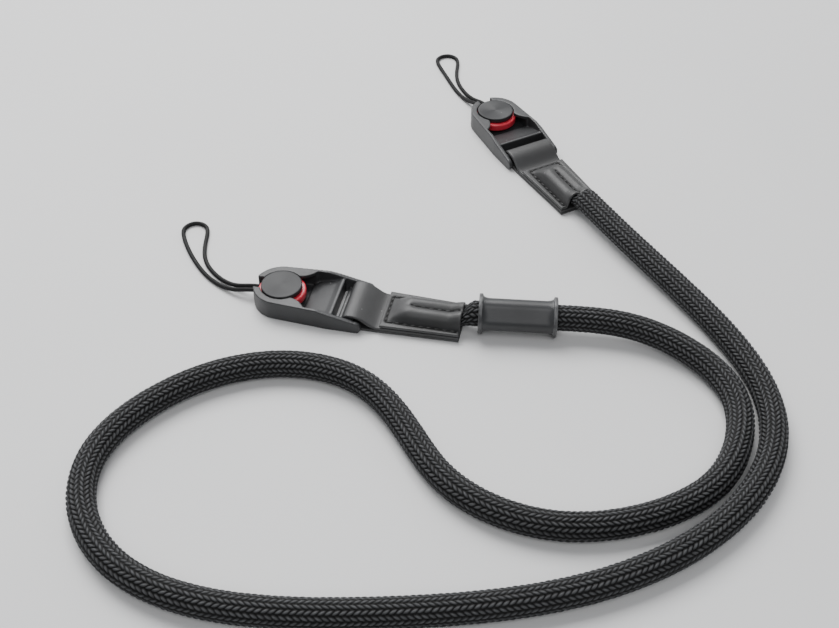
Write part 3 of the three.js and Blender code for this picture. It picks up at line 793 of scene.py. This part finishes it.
# %% Put the leather on both ends
leather_pieces = []
thread_pieces = []
for side in SIDES:
    strap_piece = tab_strap(side)
    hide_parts(f"{side}_tab_strap")
    sleeve_piece = sleeve(side)
    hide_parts(f"{side}_tab_sleeve")
    thread = stitches(side)
    for piece in (strap_piece, sleeve_piece, thread):
        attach(piece, "strap")
        print(piece.name, triangles(piece), "triangles")
    leather_pieces += [strap_piece, sleeve_piece]
    thread_pieces.append(thread)

# %% [markdown]
# The connectors are moulded plastic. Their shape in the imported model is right, but every edge of it
# is sharp, and a mould never makes a sharp edge. A voxel remesh rebuilds the same solid from small
# even cells, and a few smoothing passes then round each edge by about half a millimetre. A Bevel
# modifier gives crisper control, but it needs clean faces, and a solid cut by others has few.

# %% Connector housings and anchor bases
def softened(node, cell, passes):
    """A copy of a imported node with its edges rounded."""
    piece = new_object(f"{node}_moulded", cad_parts[node].data.copy())
    remesh = piece.modifiers.new("even cells", "REMESH")
    remesh.mode = "VOXEL"
    remesh.voxel_size = cell
    remesh.use_smooth_shade = True
    smooth = piece.modifiers.new("round edges", "SMOOTH")
    smooth.factor = 0.5
    smooth.iterations = passes
    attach(piece, "strap")
    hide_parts(node)
    return piece


housings = []
bases = []
for side in SIDES:
    housing = softened(f"{side}_housing", 0.32 * MM, 6)
    housings.append(housing)
    base = softened(f"{side}_anchor_base", 0.3 * MM, 4)
    bases.append(base)
print("moulded pieces:", [piece.name for piece in housings + bases])

# %% [markdown]
# The anchor's black disc is turned: a round plate with a rolled edge and a very slight dish. A profile
# spun round the axis makes it. The UV map keeps each point's distance from the axis, so that the
# finish can draw turning marks round it.

# %% Anchor discs, in millimetres
CAP_RADIUS = 8.65
CAP_LOW = 7.2
CAP_TOP = 9.4
CAP_ROLL = 0.45
CAP_BEVEL = 0.25
DISH = 0.12
DISH_RADIUS = 7.9
DISH_SLOPE = 5.5  # how far in from that radius the dish reaches its full depth
SPIN_STEPS = 144


def cap_profile():
    """Radius and height, from the middle of the underside to the middle of the top."""
    under = [(0, CAP_LOW), (4, CAP_LOW), (CAP_RADIUS - CAP_BEVEL, CAP_LOW)]
    bevel = (CAP_RADIUS, CAP_LOW + CAP_BEVEL)
    rise, fall = quarter_round(8)
    edge = np.stack([CAP_RADIUS - CAP_ROLL * rise, CAP_TOP - CAP_ROLL * fall], 1)
    inner = np.linspace(CAP_RADIUS - CAP_ROLL - 0.3, 0, 16)
    dish = np.stack([inner, CAP_TOP - DISH * smoothstep((DISH_RADIUS - inner) / DISH_SLOPE)], 1)
    return np.vstack([under, bevel, edge, dish])


def spun(name, profile, side):
    """The profile turned round the connector's axis. Its UVs are each point's radius and angle."""
    turn = np.linspace(0, 2 * math.pi, SPIN_STEPS, endpoint=False)
    inner = profile[1:-1]
    points = [(0, 0, profile[0][1]), (0, 0, profile[-1][1])]
    points += [(r * math.cos(angle), r * math.sin(angle), z) for r, z in inner for angle in turn]
    points = np.array(points)
    last = len(points) - SPIN_STEPS
    faces = (np.array(ring_quads(len(inner), SPIN_STEPS)) + 2).tolist()
    for j in range(SPIN_STEPS):
        after = (j + 1) % SPIN_STEPS
        faces += [(0, 2 + after, 2 + j), (1, last + j, last + after)]
    x, y = points[np.concatenate(faces), :2].T
    uvs = np.stack([np.hypot(x, y), np.arctan2(y, x)], 1)
    return new_mesh(name, placed(points * MM, side), faces, uvs)


caps = []
for side in SIDES:
    cap = spun(f"{side}_disc", cap_profile(), side)
    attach(cap, "strap")
    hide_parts(f"{side}_anchor_cap")
    caps.append(cap)
    print(cap.name, triangles(cap), "triangles")

# %% [markdown]
# The keeper is a small spool that slides on the rope. Its body is a square with rounded corners, and
# a fillet widens it into a round flange at each end. It is lofted: the same number of points at each
# place along it, joined ring to ring. The bore is the last and longest stretch of the same skin.

# %% Keeper, in millimetres
KEEPER_LENGTH = 32
KEEPER_WIDTH = 13.2
KEEPER_CORNER = 4
KEEPER_FLANGE = 1.6
KEEPER_FLANGE_RADIUS = 8.4
KEEPER_FILLET = 3.4
KEEPER_ROLL = math.radians(50)
KEEPER_FROM_TAB = 6
BORE_RADIUS = 6.0
RIM_ROUND = 0.45
BORE_ROUND = 0.35
KEEPER_POINTS = 128


def keeper_ring(x, flare, radius):
    """One section: a rounded square where flare is 0, and a circle where it is 1."""
    turn = np.linspace(0, 2 * math.pi, KEEPER_POINTS, endpoint=False)
    cosine, sine = np.abs(np.cos(turn)), np.abs(np.sin(turn))
    half = KEEPER_WIDTH / 2
    straight = half - KEEPER_CORNER
    flat = half / np.maximum(cosine, sine)
    reach = straight * (cosine + sine)
    corner = reach + np.sqrt(np.clip(reach**2 - 2 * straight**2 + KEEPER_CORNER**2, 0, None))
    square = np.where(flat * np.minimum(cosine, sine) <= straight, flat, corner)
    r = square + (radius - square) * flare
    return np.stack([x + 0 * turn, r * np.cos(turn + KEEPER_ROLL), r * np.sin(turn + KEEPER_ROLL)], 1)


def keeper_rings():
    """Rings from the middle outward over the flange, and back through the bore, for both ends."""
    half = KEEPER_LENGTH / 2
    inside = half - KEEPER_FLANGE
    rings = [(x, 0, KEEPER_WIDTH / 2) for x in np.linspace(0, inside - KEEPER_FILLET, 8)]
    rim = KEEPER_FLANGE_RADIUS
    for share in np.sin(np.linspace(0.1, math.pi / 2, 14)):
        flare = 1 - math.sqrt(1 - min(share, 1) ** 2)
        rings.append((inside - KEEPER_FILLET * (1 - share), flare, rim - RIM_ROUND))
    steps = list(zip(*quarter_round(6)))
    rings += [(inside + RIM_ROUND * rise, 1, rim - RIM_ROUND * fall) for rise, fall in steps[1:]]
    rings += [(half - RIM_ROUND * fall, 1, rim - RIM_ROUND * rise) for rise, fall in steps]
    rings += [(half - BORE_ROUND * rise, 1, BORE_RADIUS + BORE_ROUND * fall) for rise, fall in steps]
    rings += [(x, 1, BORE_RADIUS) for x in np.linspace(half - 2, 0, 6)]
    mirrored = [(-x, flare, radius) for x, flare, radius in rings[::-1]]
    return [keeper_ring(*ring) for ring in rings[:-1] + mirrored[:-1]]


def keeper():
    rings = np.array(keeper_rings())
    start, ahead = (np.array(ROPE_ROUTE[i]) for i in (2, 6))
    forward = unit(ahead - start)
    from_start = (KEEPER_FROM_TAB + KEEPER_LENGTH / 2) * MM - np.linalg.norm(start - ROPE_ROUTE[0])
    centre = start + forward * from_start
    left = np.cross([0, 0, 1], forward)
    along, sideways, upward = np.split(rings, 3, axis=-1)
    points = centre + MM * (along * forward + sideways * left + upward * [0, 0, 1])
    return new_mesh("keeper", points, ring_quads(len(rings), KEEPER_POINTS, closed=True))


keeper_piece = keeper()
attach(keeper_piece, "slider")
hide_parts("slider")
print("keeper", triangles(keeper_piece), "triangles")

# %% [markdown]
# The finishes are built from a few effects that several materials share: wear on edges, leather or
# plastic grain, the woven fibres of a cord, and dust. Each effect is a node group, made once, which
# puts out masks and heights. A few small helpers keep the wiring readable.

# %% Wiring helpers
def add_node(tree, kind, inputs=None, **settings):
    """A new node whose inputs are numbers, colours or other nodes' outputs."""
    node = tree.nodes.new(kind)
    for name, value in settings.items():
        setattr(node, name, value)
    for key, value in (inputs or {}).items():
        if isinstance(value, bpy.types.NodeSocket):
            tree.links.new(value, node.inputs[key])
        else:
            node.inputs[key].default_value = value
    return node


def calculate(tree, operation, *values):
    return add_node(tree, "ShaderNodeMath", dict(enumerate(values)), operation=operation).outputs[0]


def stretch(tree, value, low, high, to_low=0.0, to_high=1.0):
    """Maps the range from low to high onto another one, and holds it there."""
    rows = {"Value": value, "From Min": low, "From Max": high, "To Min": to_low, "To Max": to_high}
    return add_node(tree, "ShaderNodeMapRange", rows).outputs[0]


def blend_colours(tree, share, first, second):
    node = add_node(tree, "ShaderNodeMix", {0: share, 6: first, 7: second}, data_type="RGBA")
    return node.outputs[2]


def noise(tree, place, scale, detail=2.0, roughness=0.5):
    rows = {"Vector": place, "Scale": scale, "Detail": detail, "Roughness": roughness}
    return add_node(tree, "ShaderNodeTexNoise", rows).outputs["Fac"]


def place_of(tree):
    return add_node(tree, "ShaderNodeTexCoord").outputs["Object"]


def new_group(name, inputs, outputs):
    """An empty node group: its tree, its input node's sockets and its output node."""
    tree = bpy.data.node_groups.new(name, "ShaderNodeTree")
    for label, value in inputs.items():
        socket = tree.interface.new_socket(name=label, in_out="INPUT", socket_type="NodeSocketFloat")
        socket.default_value = value
    for label in outputs:
        tree.interface.new_socket(name=label, in_out="OUTPUT", socket_type="NodeSocketFloat")
    return tree, tree.nodes.new("NodeGroupInput").outputs, tree.nodes.new("NodeGroupOutput")


def put_out(tree, end, **values):
    for label, value in values.items():
        tree.links.new(value, end.inputs[label])


# %% [markdown]
# Hands and table tops rub an edge first. Cycles can tell how sharp a place is, which it calls
# pointiness, and a noise breaks the wear up into patches, because an even pale line along every edge
# looks drawn on. A hand-painted mask could be finer, but it would fit one piece only.

# %% Edge wear
edge_wear, given, end = new_group("edge wear", {"From": 0.53, "To": 0.6, "Patch size": 260.0}, ["Mask"])
pointiness = add_node(edge_wear, "ShaderNodeNewGeometry").outputs["Pointiness"]
sharp = stretch(edge_wear, pointiness, given["From"], given["To"])
patches = noise(edge_wear, place_of(edge_wear), given["Patch size"], 3.0)
broken = stretch(edge_wear, patches, 0.36, 0.6, 0.25, 1.0)
put_out(edge_wear, end, Mask=calculate(edge_wear, "MULTIPLY", sharp, broken))

# %% [markdown]
# Pores in leather, the frost of a mould and the skin of sprayed paint are all small cells with soft
# valleys between them. A Voronoi texture gives the cells, once a noise has pushed their straight
# borders about. Their size is an input, so one group serves all three, and a slow noise varies the tone.

# %% Grain
grain, given, end = new_group("grain", {"Cells per metre": 1400.0, "Valley": 0.3}, ["Height", "Tone"])
place = place_of(grain)
waves = add_node(grain, "ShaderNodeTexNoise", {"Vector": place, "Scale": 900.0, "Detail": 1.0})
wobble = waves.outputs["Color"]
shift = add_node(grain, "ShaderNodeVectorMath", {0: wobble, 3: 0.0006}, operation="SCALE").outputs[0]
moved = add_node(grain, "ShaderNodeVectorMath", {0: place, 1: shift}, operation="ADD").outputs[0]
rows = {"Vector": moved, "Scale": given["Cells per metre"]}
cells = add_node(grain, "ShaderNodeTexVoronoi", rows, feature="DISTANCE_TO_EDGE")
raised = stretch(grain, cells.outputs["Distance"], 0.0, given["Valley"])
fine = noise(grain, place, 5200.0, 2.0)
height = calculate(grain, "MULTIPLY_ADD", fine, 0.35, raised)
put_out(grain, end, Height=height, Tone=stretch(grain, noise(grain, place, 55.0, 3.0), 0.3, 0.7))

# %% [markdown]
# The mesh has each float's height but not its fibres, which would take millions of points. The UV map
# says where on its float a place lies, and a noise stretched along the float draws the fibres there.
# The same numbers give a mask of painted shade that darkens each float towards the gaps round it,
# leaving an oval of painted highlight in its middle, and one random tone for each float.

# %% Weave
weave_effect, given, end = new_group("weave", {"Fibres": 8.0}, ["Fibre", "Gap", "Float"])
tree = weave_effect
uv = add_node(tree, "ShaderNodeUVMap", uv_map="UVMap").outputs[0]
split = add_node(tree, "ShaderNodeSeparateXYZ", {0: uv}).outputs
column = calculate(tree, "FLOOR", split[0])
from_middle = calculate(tree, "SUBTRACT", calculate(tree, "FRACT", split[0]), 0.5)
odd = calculate(tree, "FLOORED_MODULO", column, 2.0)
lean = calculate(tree, "MULTIPLY_ADD", odd, -2.0, 1.0)
leaned = calculate(tree, "MULTIPLY", lean, from_middle)
shifted = calculate(tree, "MULTIPLY_ADD", odd, -0.5, split[1])
across_float = calculate(tree, "SUBTRACT", shifted, leaned)
stitch = calculate(tree, "ROUND", across_float)
beside = calculate(tree, "SUBTRACT", across_float, stitch)
spread = calculate(tree, "MULTIPLY", beside, given["Fibres"])
run = calculate(tree, "MULTIPLY", from_middle, 1.1)
which = calculate(tree, "MULTIPLY_ADD", stitch, 3.7, calculate(tree, "MULTIPLY", column, 1.9))
fibre_place = add_node(tree, "ShaderNodeCombineXYZ", {0: spread, 1: run, 2: which}).outputs[0]
fibre = stretch(tree, noise(tree, fibre_place, 1.0, 1.0), 0.25, 0.75)
tint_place = add_node(tree, "ShaderNodeCombineXYZ", {0: column, 1: stitch}).outputs[0]
tint = add_node(tree, "ShaderNodeTexWhiteNoise", {"Vector": tint_place}).outputs["Value"]
# Painted highlight and shade: the oval in each float's middle stays pale, and outside it the colour is
# darkened towards the gaps.
NARROW, SHORT = 4.4, 6.0  # of the oval that stays bright: how fast it ends to the sides and the ends
to_side = calculate(tree, "MULTIPLY", calculate(tree, "MULTIPLY", beside, beside), NARROW)
to_end = calculate(tree, "MULTIPLY", calculate(tree, "MULTIPLY", from_middle, from_middle), SHORT)
oval = calculate(tree, "ADD", to_side, to_end)
# Gap is the painted shade towards the gaps; where it is low the float keeps its painted highlight.
put_out(tree, end, Fibre=fibre, Gap=stretch(tree, oval, 0.08, 0.95), Float=tint)

# %% [markdown]
# A black thing without a speck on it looks computed. Each cell of a Voronoi pattern draws a random
# number, the few that draw a high one get a pale dot, and the dots stay only where the surface looks
# up, as dust does.

# %% Dust
dust, given, end = new_group("dust", {"Specks per metre": 900.0, "Share": 0.5}, ["Mask"])
place = place_of(dust)
specks = add_node(dust, "ShaderNodeTexVoronoi", {"Vector": place, "Scale": given["Specks per metre"]})
near = stretch(dust, specks.outputs["Distance"], 0.08, 0.13, 1.0, 0.0)
chance = add_node(dust, "ShaderNodeSeparateColor", {0: specks.outputs["Color"]}).outputs[0]
chosen = calculate(dust, "GREATER_THAN", chance, calculate(dust, "SUBTRACT", 1.0, given["Share"]))
normal = add_node(dust, "ShaderNodeNewGeometry").outputs["Normal"]
upward = stretch(dust, add_node(dust, "ShaderNodeSeparateXYZ", {0: normal}).outputs[2], 0.4, 0.9)
mask = calculate(dust, "MULTIPLY", calculate(dust, "MULTIPLY", near, chosen), upward)
put_out(dust, end, Mask=mask)
print("shared effects:", [group.name for group in bpy.data.node_groups])


# %% [markdown]
# What is the same all over a surface is set on the shader's own sockets, and only what changes from
# place to place is linked into them. Nearly everything here is black, so a colour is mostly one level
# of grey with a little blue in it.

# %% Start a material
def new_material(name, **shader_values):
    """A material with its shader's steady values set on the shader itself."""
    material = bpy.data.materials.new(name)
    material.use_nodes = True
    tree = material.node_tree
    shader = next(node for node in tree.nodes if node.type == "BSDF_PRINCIPLED")
    for label, value in shader_values.items():
        shader.inputs[label.replace("_", " ").title().replace("Ior", "IOR")].default_value = value
    return material, tree, shader


def use_group(tree, group, **values):
    node = add_node(tree, "ShaderNodeGroup", node_tree=group)
    for label, value in values.items():
        node.inputs[label.replace("_", " ").capitalize()].default_value = value
    return node.outputs


def feed(tree, shader, colour, roughness=None, bump=None, depth=0.05 * MM, strength=1.0):
    """Links what varies over the surface into the shader."""
    tree.links.new(colour, shader.inputs["Base Color"])
    if roughness is not None:
        tree.links.new(roughness, shader.inputs["Roughness"])
    if bump is not None:
        rows = {"Height": bump, "Strength": strength, "Distance": depth}
        node = add_node(tree, "ShaderNodeBump", rows)
        tree.links.new(node.outputs[0], shader.inputs["Normal"])


def grey(level, blue=0.0):
    """A neutral colour, or one with a little blue in it."""
    return (level, level * (1 + blue / 3), level * (1 + blue), 1)


def rub_edges(tree, plain, bare, share, **wear):
    """Lets a bare colour show where edges are worn, and says how much of it shows."""
    shown = calculate(tree, "MULTIPLY", use_group(tree, edge_wear, **wear)["Mask"], share)
    return blend_colours(tree, shown, plain, bare), shown


def let_dust_settle(tree, clean, tone, per_metre, share):
    specks = use_group(tree, dust, Specks_per_metre=per_metre, Share=share)
    return blend_colours(tree, specks["Mask"], clean, grey(tone))


def paint(pieces, material):
    for piece in pieces:
        piece.data.materials.clear()
        piece.data.materials.append(material)


# %% [markdown]
# The rope is polyester braid of dull black fibres. What separates the floats to the eye is less their
# height than their colour: an oval in the middle of each one is painted palest, a painted highlight on
# its crest, and round it the colour is darkened towards the gaps as painted shade. Neighbouring floats
# differ a little, since each strand has its own twist.

# %% Braid and thin cord
def braid_material(name, fibres, crest_with_highlight, painted_gap_shade, roughness, depth):
    material, tree, shader = new_material(name, specular_ior_level=0.25)
    woven = use_group(tree, weave_effect, Fibres=fibres)
    tone = stretch(tree, woven["Float"], 0.0, 1.0, 0.75, 1.0)
    lit = calculate(tree, "MULTIPLY", stretch(tree, woven["Fibre"], 0.0, 1.0, 0.55, 1.0), tone)
    # The crest colour, with a painted highlight in it, shows in each float's oval; towards the gaps it
    # gives way to the crevice colour, which is painted shade.
    shown = calculate(tree, "MULTIPLY", lit, calculate(tree, "SUBTRACT", 1.0, woven["Gap"]))
    colour = blend_colours(tree, shown, grey(painted_gap_shade), grey(crest_with_highlight, 0.08))
    rough = stretch(tree, woven["Fibre"], 0.0, 1.0, roughness + 0.12, roughness - 0.06)
    feed(tree, shader, colour, rough, woven["Fibre"], depth)
    return material


# The crest colours below carry a painted highlight, and the crevice colours are painted shade in the
# gaps.
rope_material = braid_material("braid", 8.0, 0.085, 0.0012, 0.55, 0.04 * MM)
cord_material = braid_material("thin cord", 5.0, 0.024, 0.002, 0.55, 0.03 * MM)
paint(rope_braid, rope_material)
paint(anchor_cords.values(), cord_material)

core_material, tree, shader = new_material("rope core", roughness=0.9)
speckle = noise(tree, place_of(tree), 3000.0)
feed(tree, shader, blend_colours(tree, speckle, grey(0.002), grey(0.008)), None, speckle)
paint([rope_core], core_material)

# %% [markdown]
# The leather is smooth and lightly waxed. Its grain is fine, its tone changes slowly over the piece,
# and its cut edges are sealed with a paint that has rubbed thin. They are painted paler than the face,
# partly for that paint and partly as a painted highlight on the rounded edge. Where the stitches press
# it down it is duller, and it is painted near black there as painted shade in the dents.

# %% Leather and thread
leather_material, tree, shader = new_material("leather", coat_weight=0.06, coat_roughness=0.3)
pores = use_group(tree, grain, Cells_per_metre=1500.0, Valley=0.28)
cut = add_node(tree, "ShaderNodeAttribute", attribute_name="cut_edge").outputs["Fac"]
cut_mask = stretch(tree, cut, 0.12, 0.8)
face = blend_colours(tree, pores["Tone"], grey(0.02), grey(0.03, 0.05))
# The cut edge is painted paler: partly its own edge paint, partly a painted highlight on the rounded
# edge.
edge_paint_and_highlight = blend_colours(tree, calculate(tree, "MULTIPLY", cut_mask, 0.7), face, grey(0.055, 0.03))
dusted = let_dust_settle(tree, edge_paint_and_highlight, 0.2, 500.0, 0.05)
stitched = add_node(tree, "ShaderNodeAttribute", attribute_name="stitched").outputs["Fac"]
pressed = stretch(tree, stitched, 0.12, 0.65)
# Painted shade: the stitch dents are painted near black, and they are also made rougher.
dent_shaded = blend_colours(tree, pressed, dusted, grey(0.002))
smooth = stretch(tree, pores["Tone"], 0.0, 1.0, 0.54, 0.45)
rough = calculate(tree, "MULTIPLY_ADD", pressed, 0.35, smooth)
feed(tree, shader, dent_shaded, rough, pores["Height"], 0.05 * MM, 0.35)
paint(leather_pieces, leather_material)

thread_material, tree, shader = new_material("waxed thread", sheen_weight=0.1)
twist = noise(tree, place_of(tree), 4200.0, 1.0)
feed(tree, shader, blend_colours(tree, twist, grey(0.002), grey(0.008)), None, twist, 0.05 * MM)
paint(thread_pieces, thread_material)

# %% [markdown]
# Three plastics: the housings have the fine, even frost of a spark-eroded mould, and the red bases are
# glossy. The discs have turning marks, and their shine is stretched across the marks, which draws a
# fan of light from the middle out. Handling has rubbed the edges of all three.

# %% Moulded plastics
housing_material, tree, shader = new_material("housing plastic")
frost = use_group(tree, grain, Cells_per_metre=4200.0, Valley=0.4)
plain = blend_colours(tree, frost["Tone"], grey(0.022, 0.06), grey(0.032, 0.09))
rubbed, _ = rub_edges(tree, plain, grey(0.09, 0.05), 0.6, From=0.52, To=0.62)
dusted = let_dust_settle(tree, rubbed, 0.22, 450.0, 0.06)
rough = stretch(tree, frost["Tone"], 0.0, 1.0, 0.46, 0.38)
feed(tree, shader, dusted, rough, frost["Height"], 0.015 * MM, 0.5)
paint(housings, housing_material)

disc_material, tree, shader = new_material("disc plastic", anisotropic=0.75, specular_ior_level=0.36)
uv = add_node(tree, "ShaderNodeUVMap", uv_map="UVMap").outputs[0]
radius = add_node(tree, "ShaderNodeSeparateXYZ", {0: uv}).outputs[0]
ring_place = add_node(tree, "ShaderNodeCombineXYZ", {0: radius}).outputs[0]
rings = noise(tree, ring_place, 7.0, 3.0, 0.7)
plain = blend_colours(tree, rings, grey(0.024, 0.05), grey(0.034, 0.08))
rubbed, _ = rub_edges(tree, plain, grey(0.1, 0.04), 0.6, From=0.54, To=0.62)
dusted = let_dust_settle(tree, rubbed, 0.22, 500.0, 0.07)
feed(tree, shader, dusted, stretch(tree, rings, 0.3, 0.7, 0.56, 0.44), rings, 0.02 * MM, 0.35)
round_it = add_node(tree, "ShaderNodeTangent", direction_type="RADIAL", axis="Z")
tree.links.new(round_it.outputs[0], shader.inputs["Tangent"])
paint(caps, disc_material)

red_material, tree, shader = new_material("red plastic", coat_weight=0.2, coat_roughness=0.15)
swirl = noise(tree, place_of(tree), 220.0, 3.0)
plain = blend_colours(tree, swirl, (0.5, 0.018, 0.035, 1), (0.66, 0.035, 0.06, 1))
rubbed, _ = rub_edges(tree, plain, (0.85, 0.16, 0.2, 1), 0.5, From=0.56, To=0.7)
feed(tree, shader, rubbed, stretch(tree, swirl, 0.3, 0.7, 0.36, 0.26), swirl, 0.01 * MM, 0.4)
paint(bases, red_material)

# %% [markdown]
# The keeper is painted metal, so its wear differs from the plastic's: where the paint is through, at
# the rims and along the corners, bare metal shines.

# %% Painted metal
keeper_material, tree, shader = new_material("keeper paint", specular_ior_level=0.4)
orange_peel = use_group(tree, grain, Cells_per_metre=2600.0, Valley=0.5)
plain = blend_colours(tree, orange_peel["Tone"], grey(0.026, 0.06), grey(0.036, 0.1))
rubbed, bare = rub_edges(tree, plain, grey(0.4, 0.02), 0.75, From=0.51, To=0.56, Patch_size=420.0)
dusted = let_dust_settle(tree, rubbed, 0.24, 450.0, 0.06)
rough = stretch(tree, orange_peel["Tone"], 0.0, 1.0, 0.44, 0.36)
feed(tree, shader, dusted, rough, orange_peel["Height"], 0.015 * MM, 0.4)
tree.links.new(bare, shader.inputs["Metallic"])
paint([keeper_piece], keeper_material)
print("materials:", [material.name for material in bpy.data.materials if material.users])

# %% [markdown]
# Black things are seen by what they mirror. A broad soft key light, high behind the strap, shows as a
# grey sheen on everything that faces up, and draws the shadows towards the viewer. A still broader one
# stands lower and further left, where the sloping thumb ramps mirror it, and a faint one low on the
# right shows in the slope of the leather behind each bar. A weak light in front keeps what faces the
# viewer from going black, and a dim world keeps the shadows open.

# %% Floor
FLOOR_HALF = 20
corners = FLOOR_HALF * np.array([(-1, -1, 0), (1, -1, 0), (1, 1, 0), (-1, 1, 0)])
floor = new_mesh("floor", corners, [(0, 1, 2, 3)])
print("floor:", 2 * FLOOR_HALF, "m wide")
floor_material, tree, shader = new_material("floor", roughness=0.6)
mottle = noise(tree, place_of(tree), 6.0)
feed(tree, shader, blend_colours(tree, mottle, grey(0.66), grey(0.7)))
paint([floor], floor_material)


# %% Lights
MIDDLE = Vector((0.06, -0.03, 0))


def soft_light(name, place, size, power):
    """A square area light that looks at the strap's middle. Its size is in metres, its power in watts."""
    data = bpy.data.lights.new(name, "AREA")
    data.shape = "SQUARE"
    data.size = size
    data.energy = power
    light = new_object(name, data)
    light.location = place
    light.rotation_euler = (MIDDLE - Vector(place)).to_track_quat("-Z", "Y").to_euler()


soft_light("key", (-0.2, 0.6, 1.05), 0.9, 21)
soft_light("back", (-0.4, 1.05, 0.75), 1.5, 9)
soft_light("right", (0.85, 0.95, 0.55), 0.9, 3.5)
soft_light("front", (0.1, -0.85, 1.05), 0.8, 6.5)

world = bpy.data.worlds.new("studio")
world.use_nodes = True
sky = next(node for node in world.node_tree.nodes if node.type == "BACKGROUND")
sky.inputs["Color"].default_value = (0.8, 0.82, 0.86, 1)
sky.inputs["Strength"].default_value = 0.36
bpy.context.scene.world = world
print("lights:", [light.name for light in bpy.data.lights])
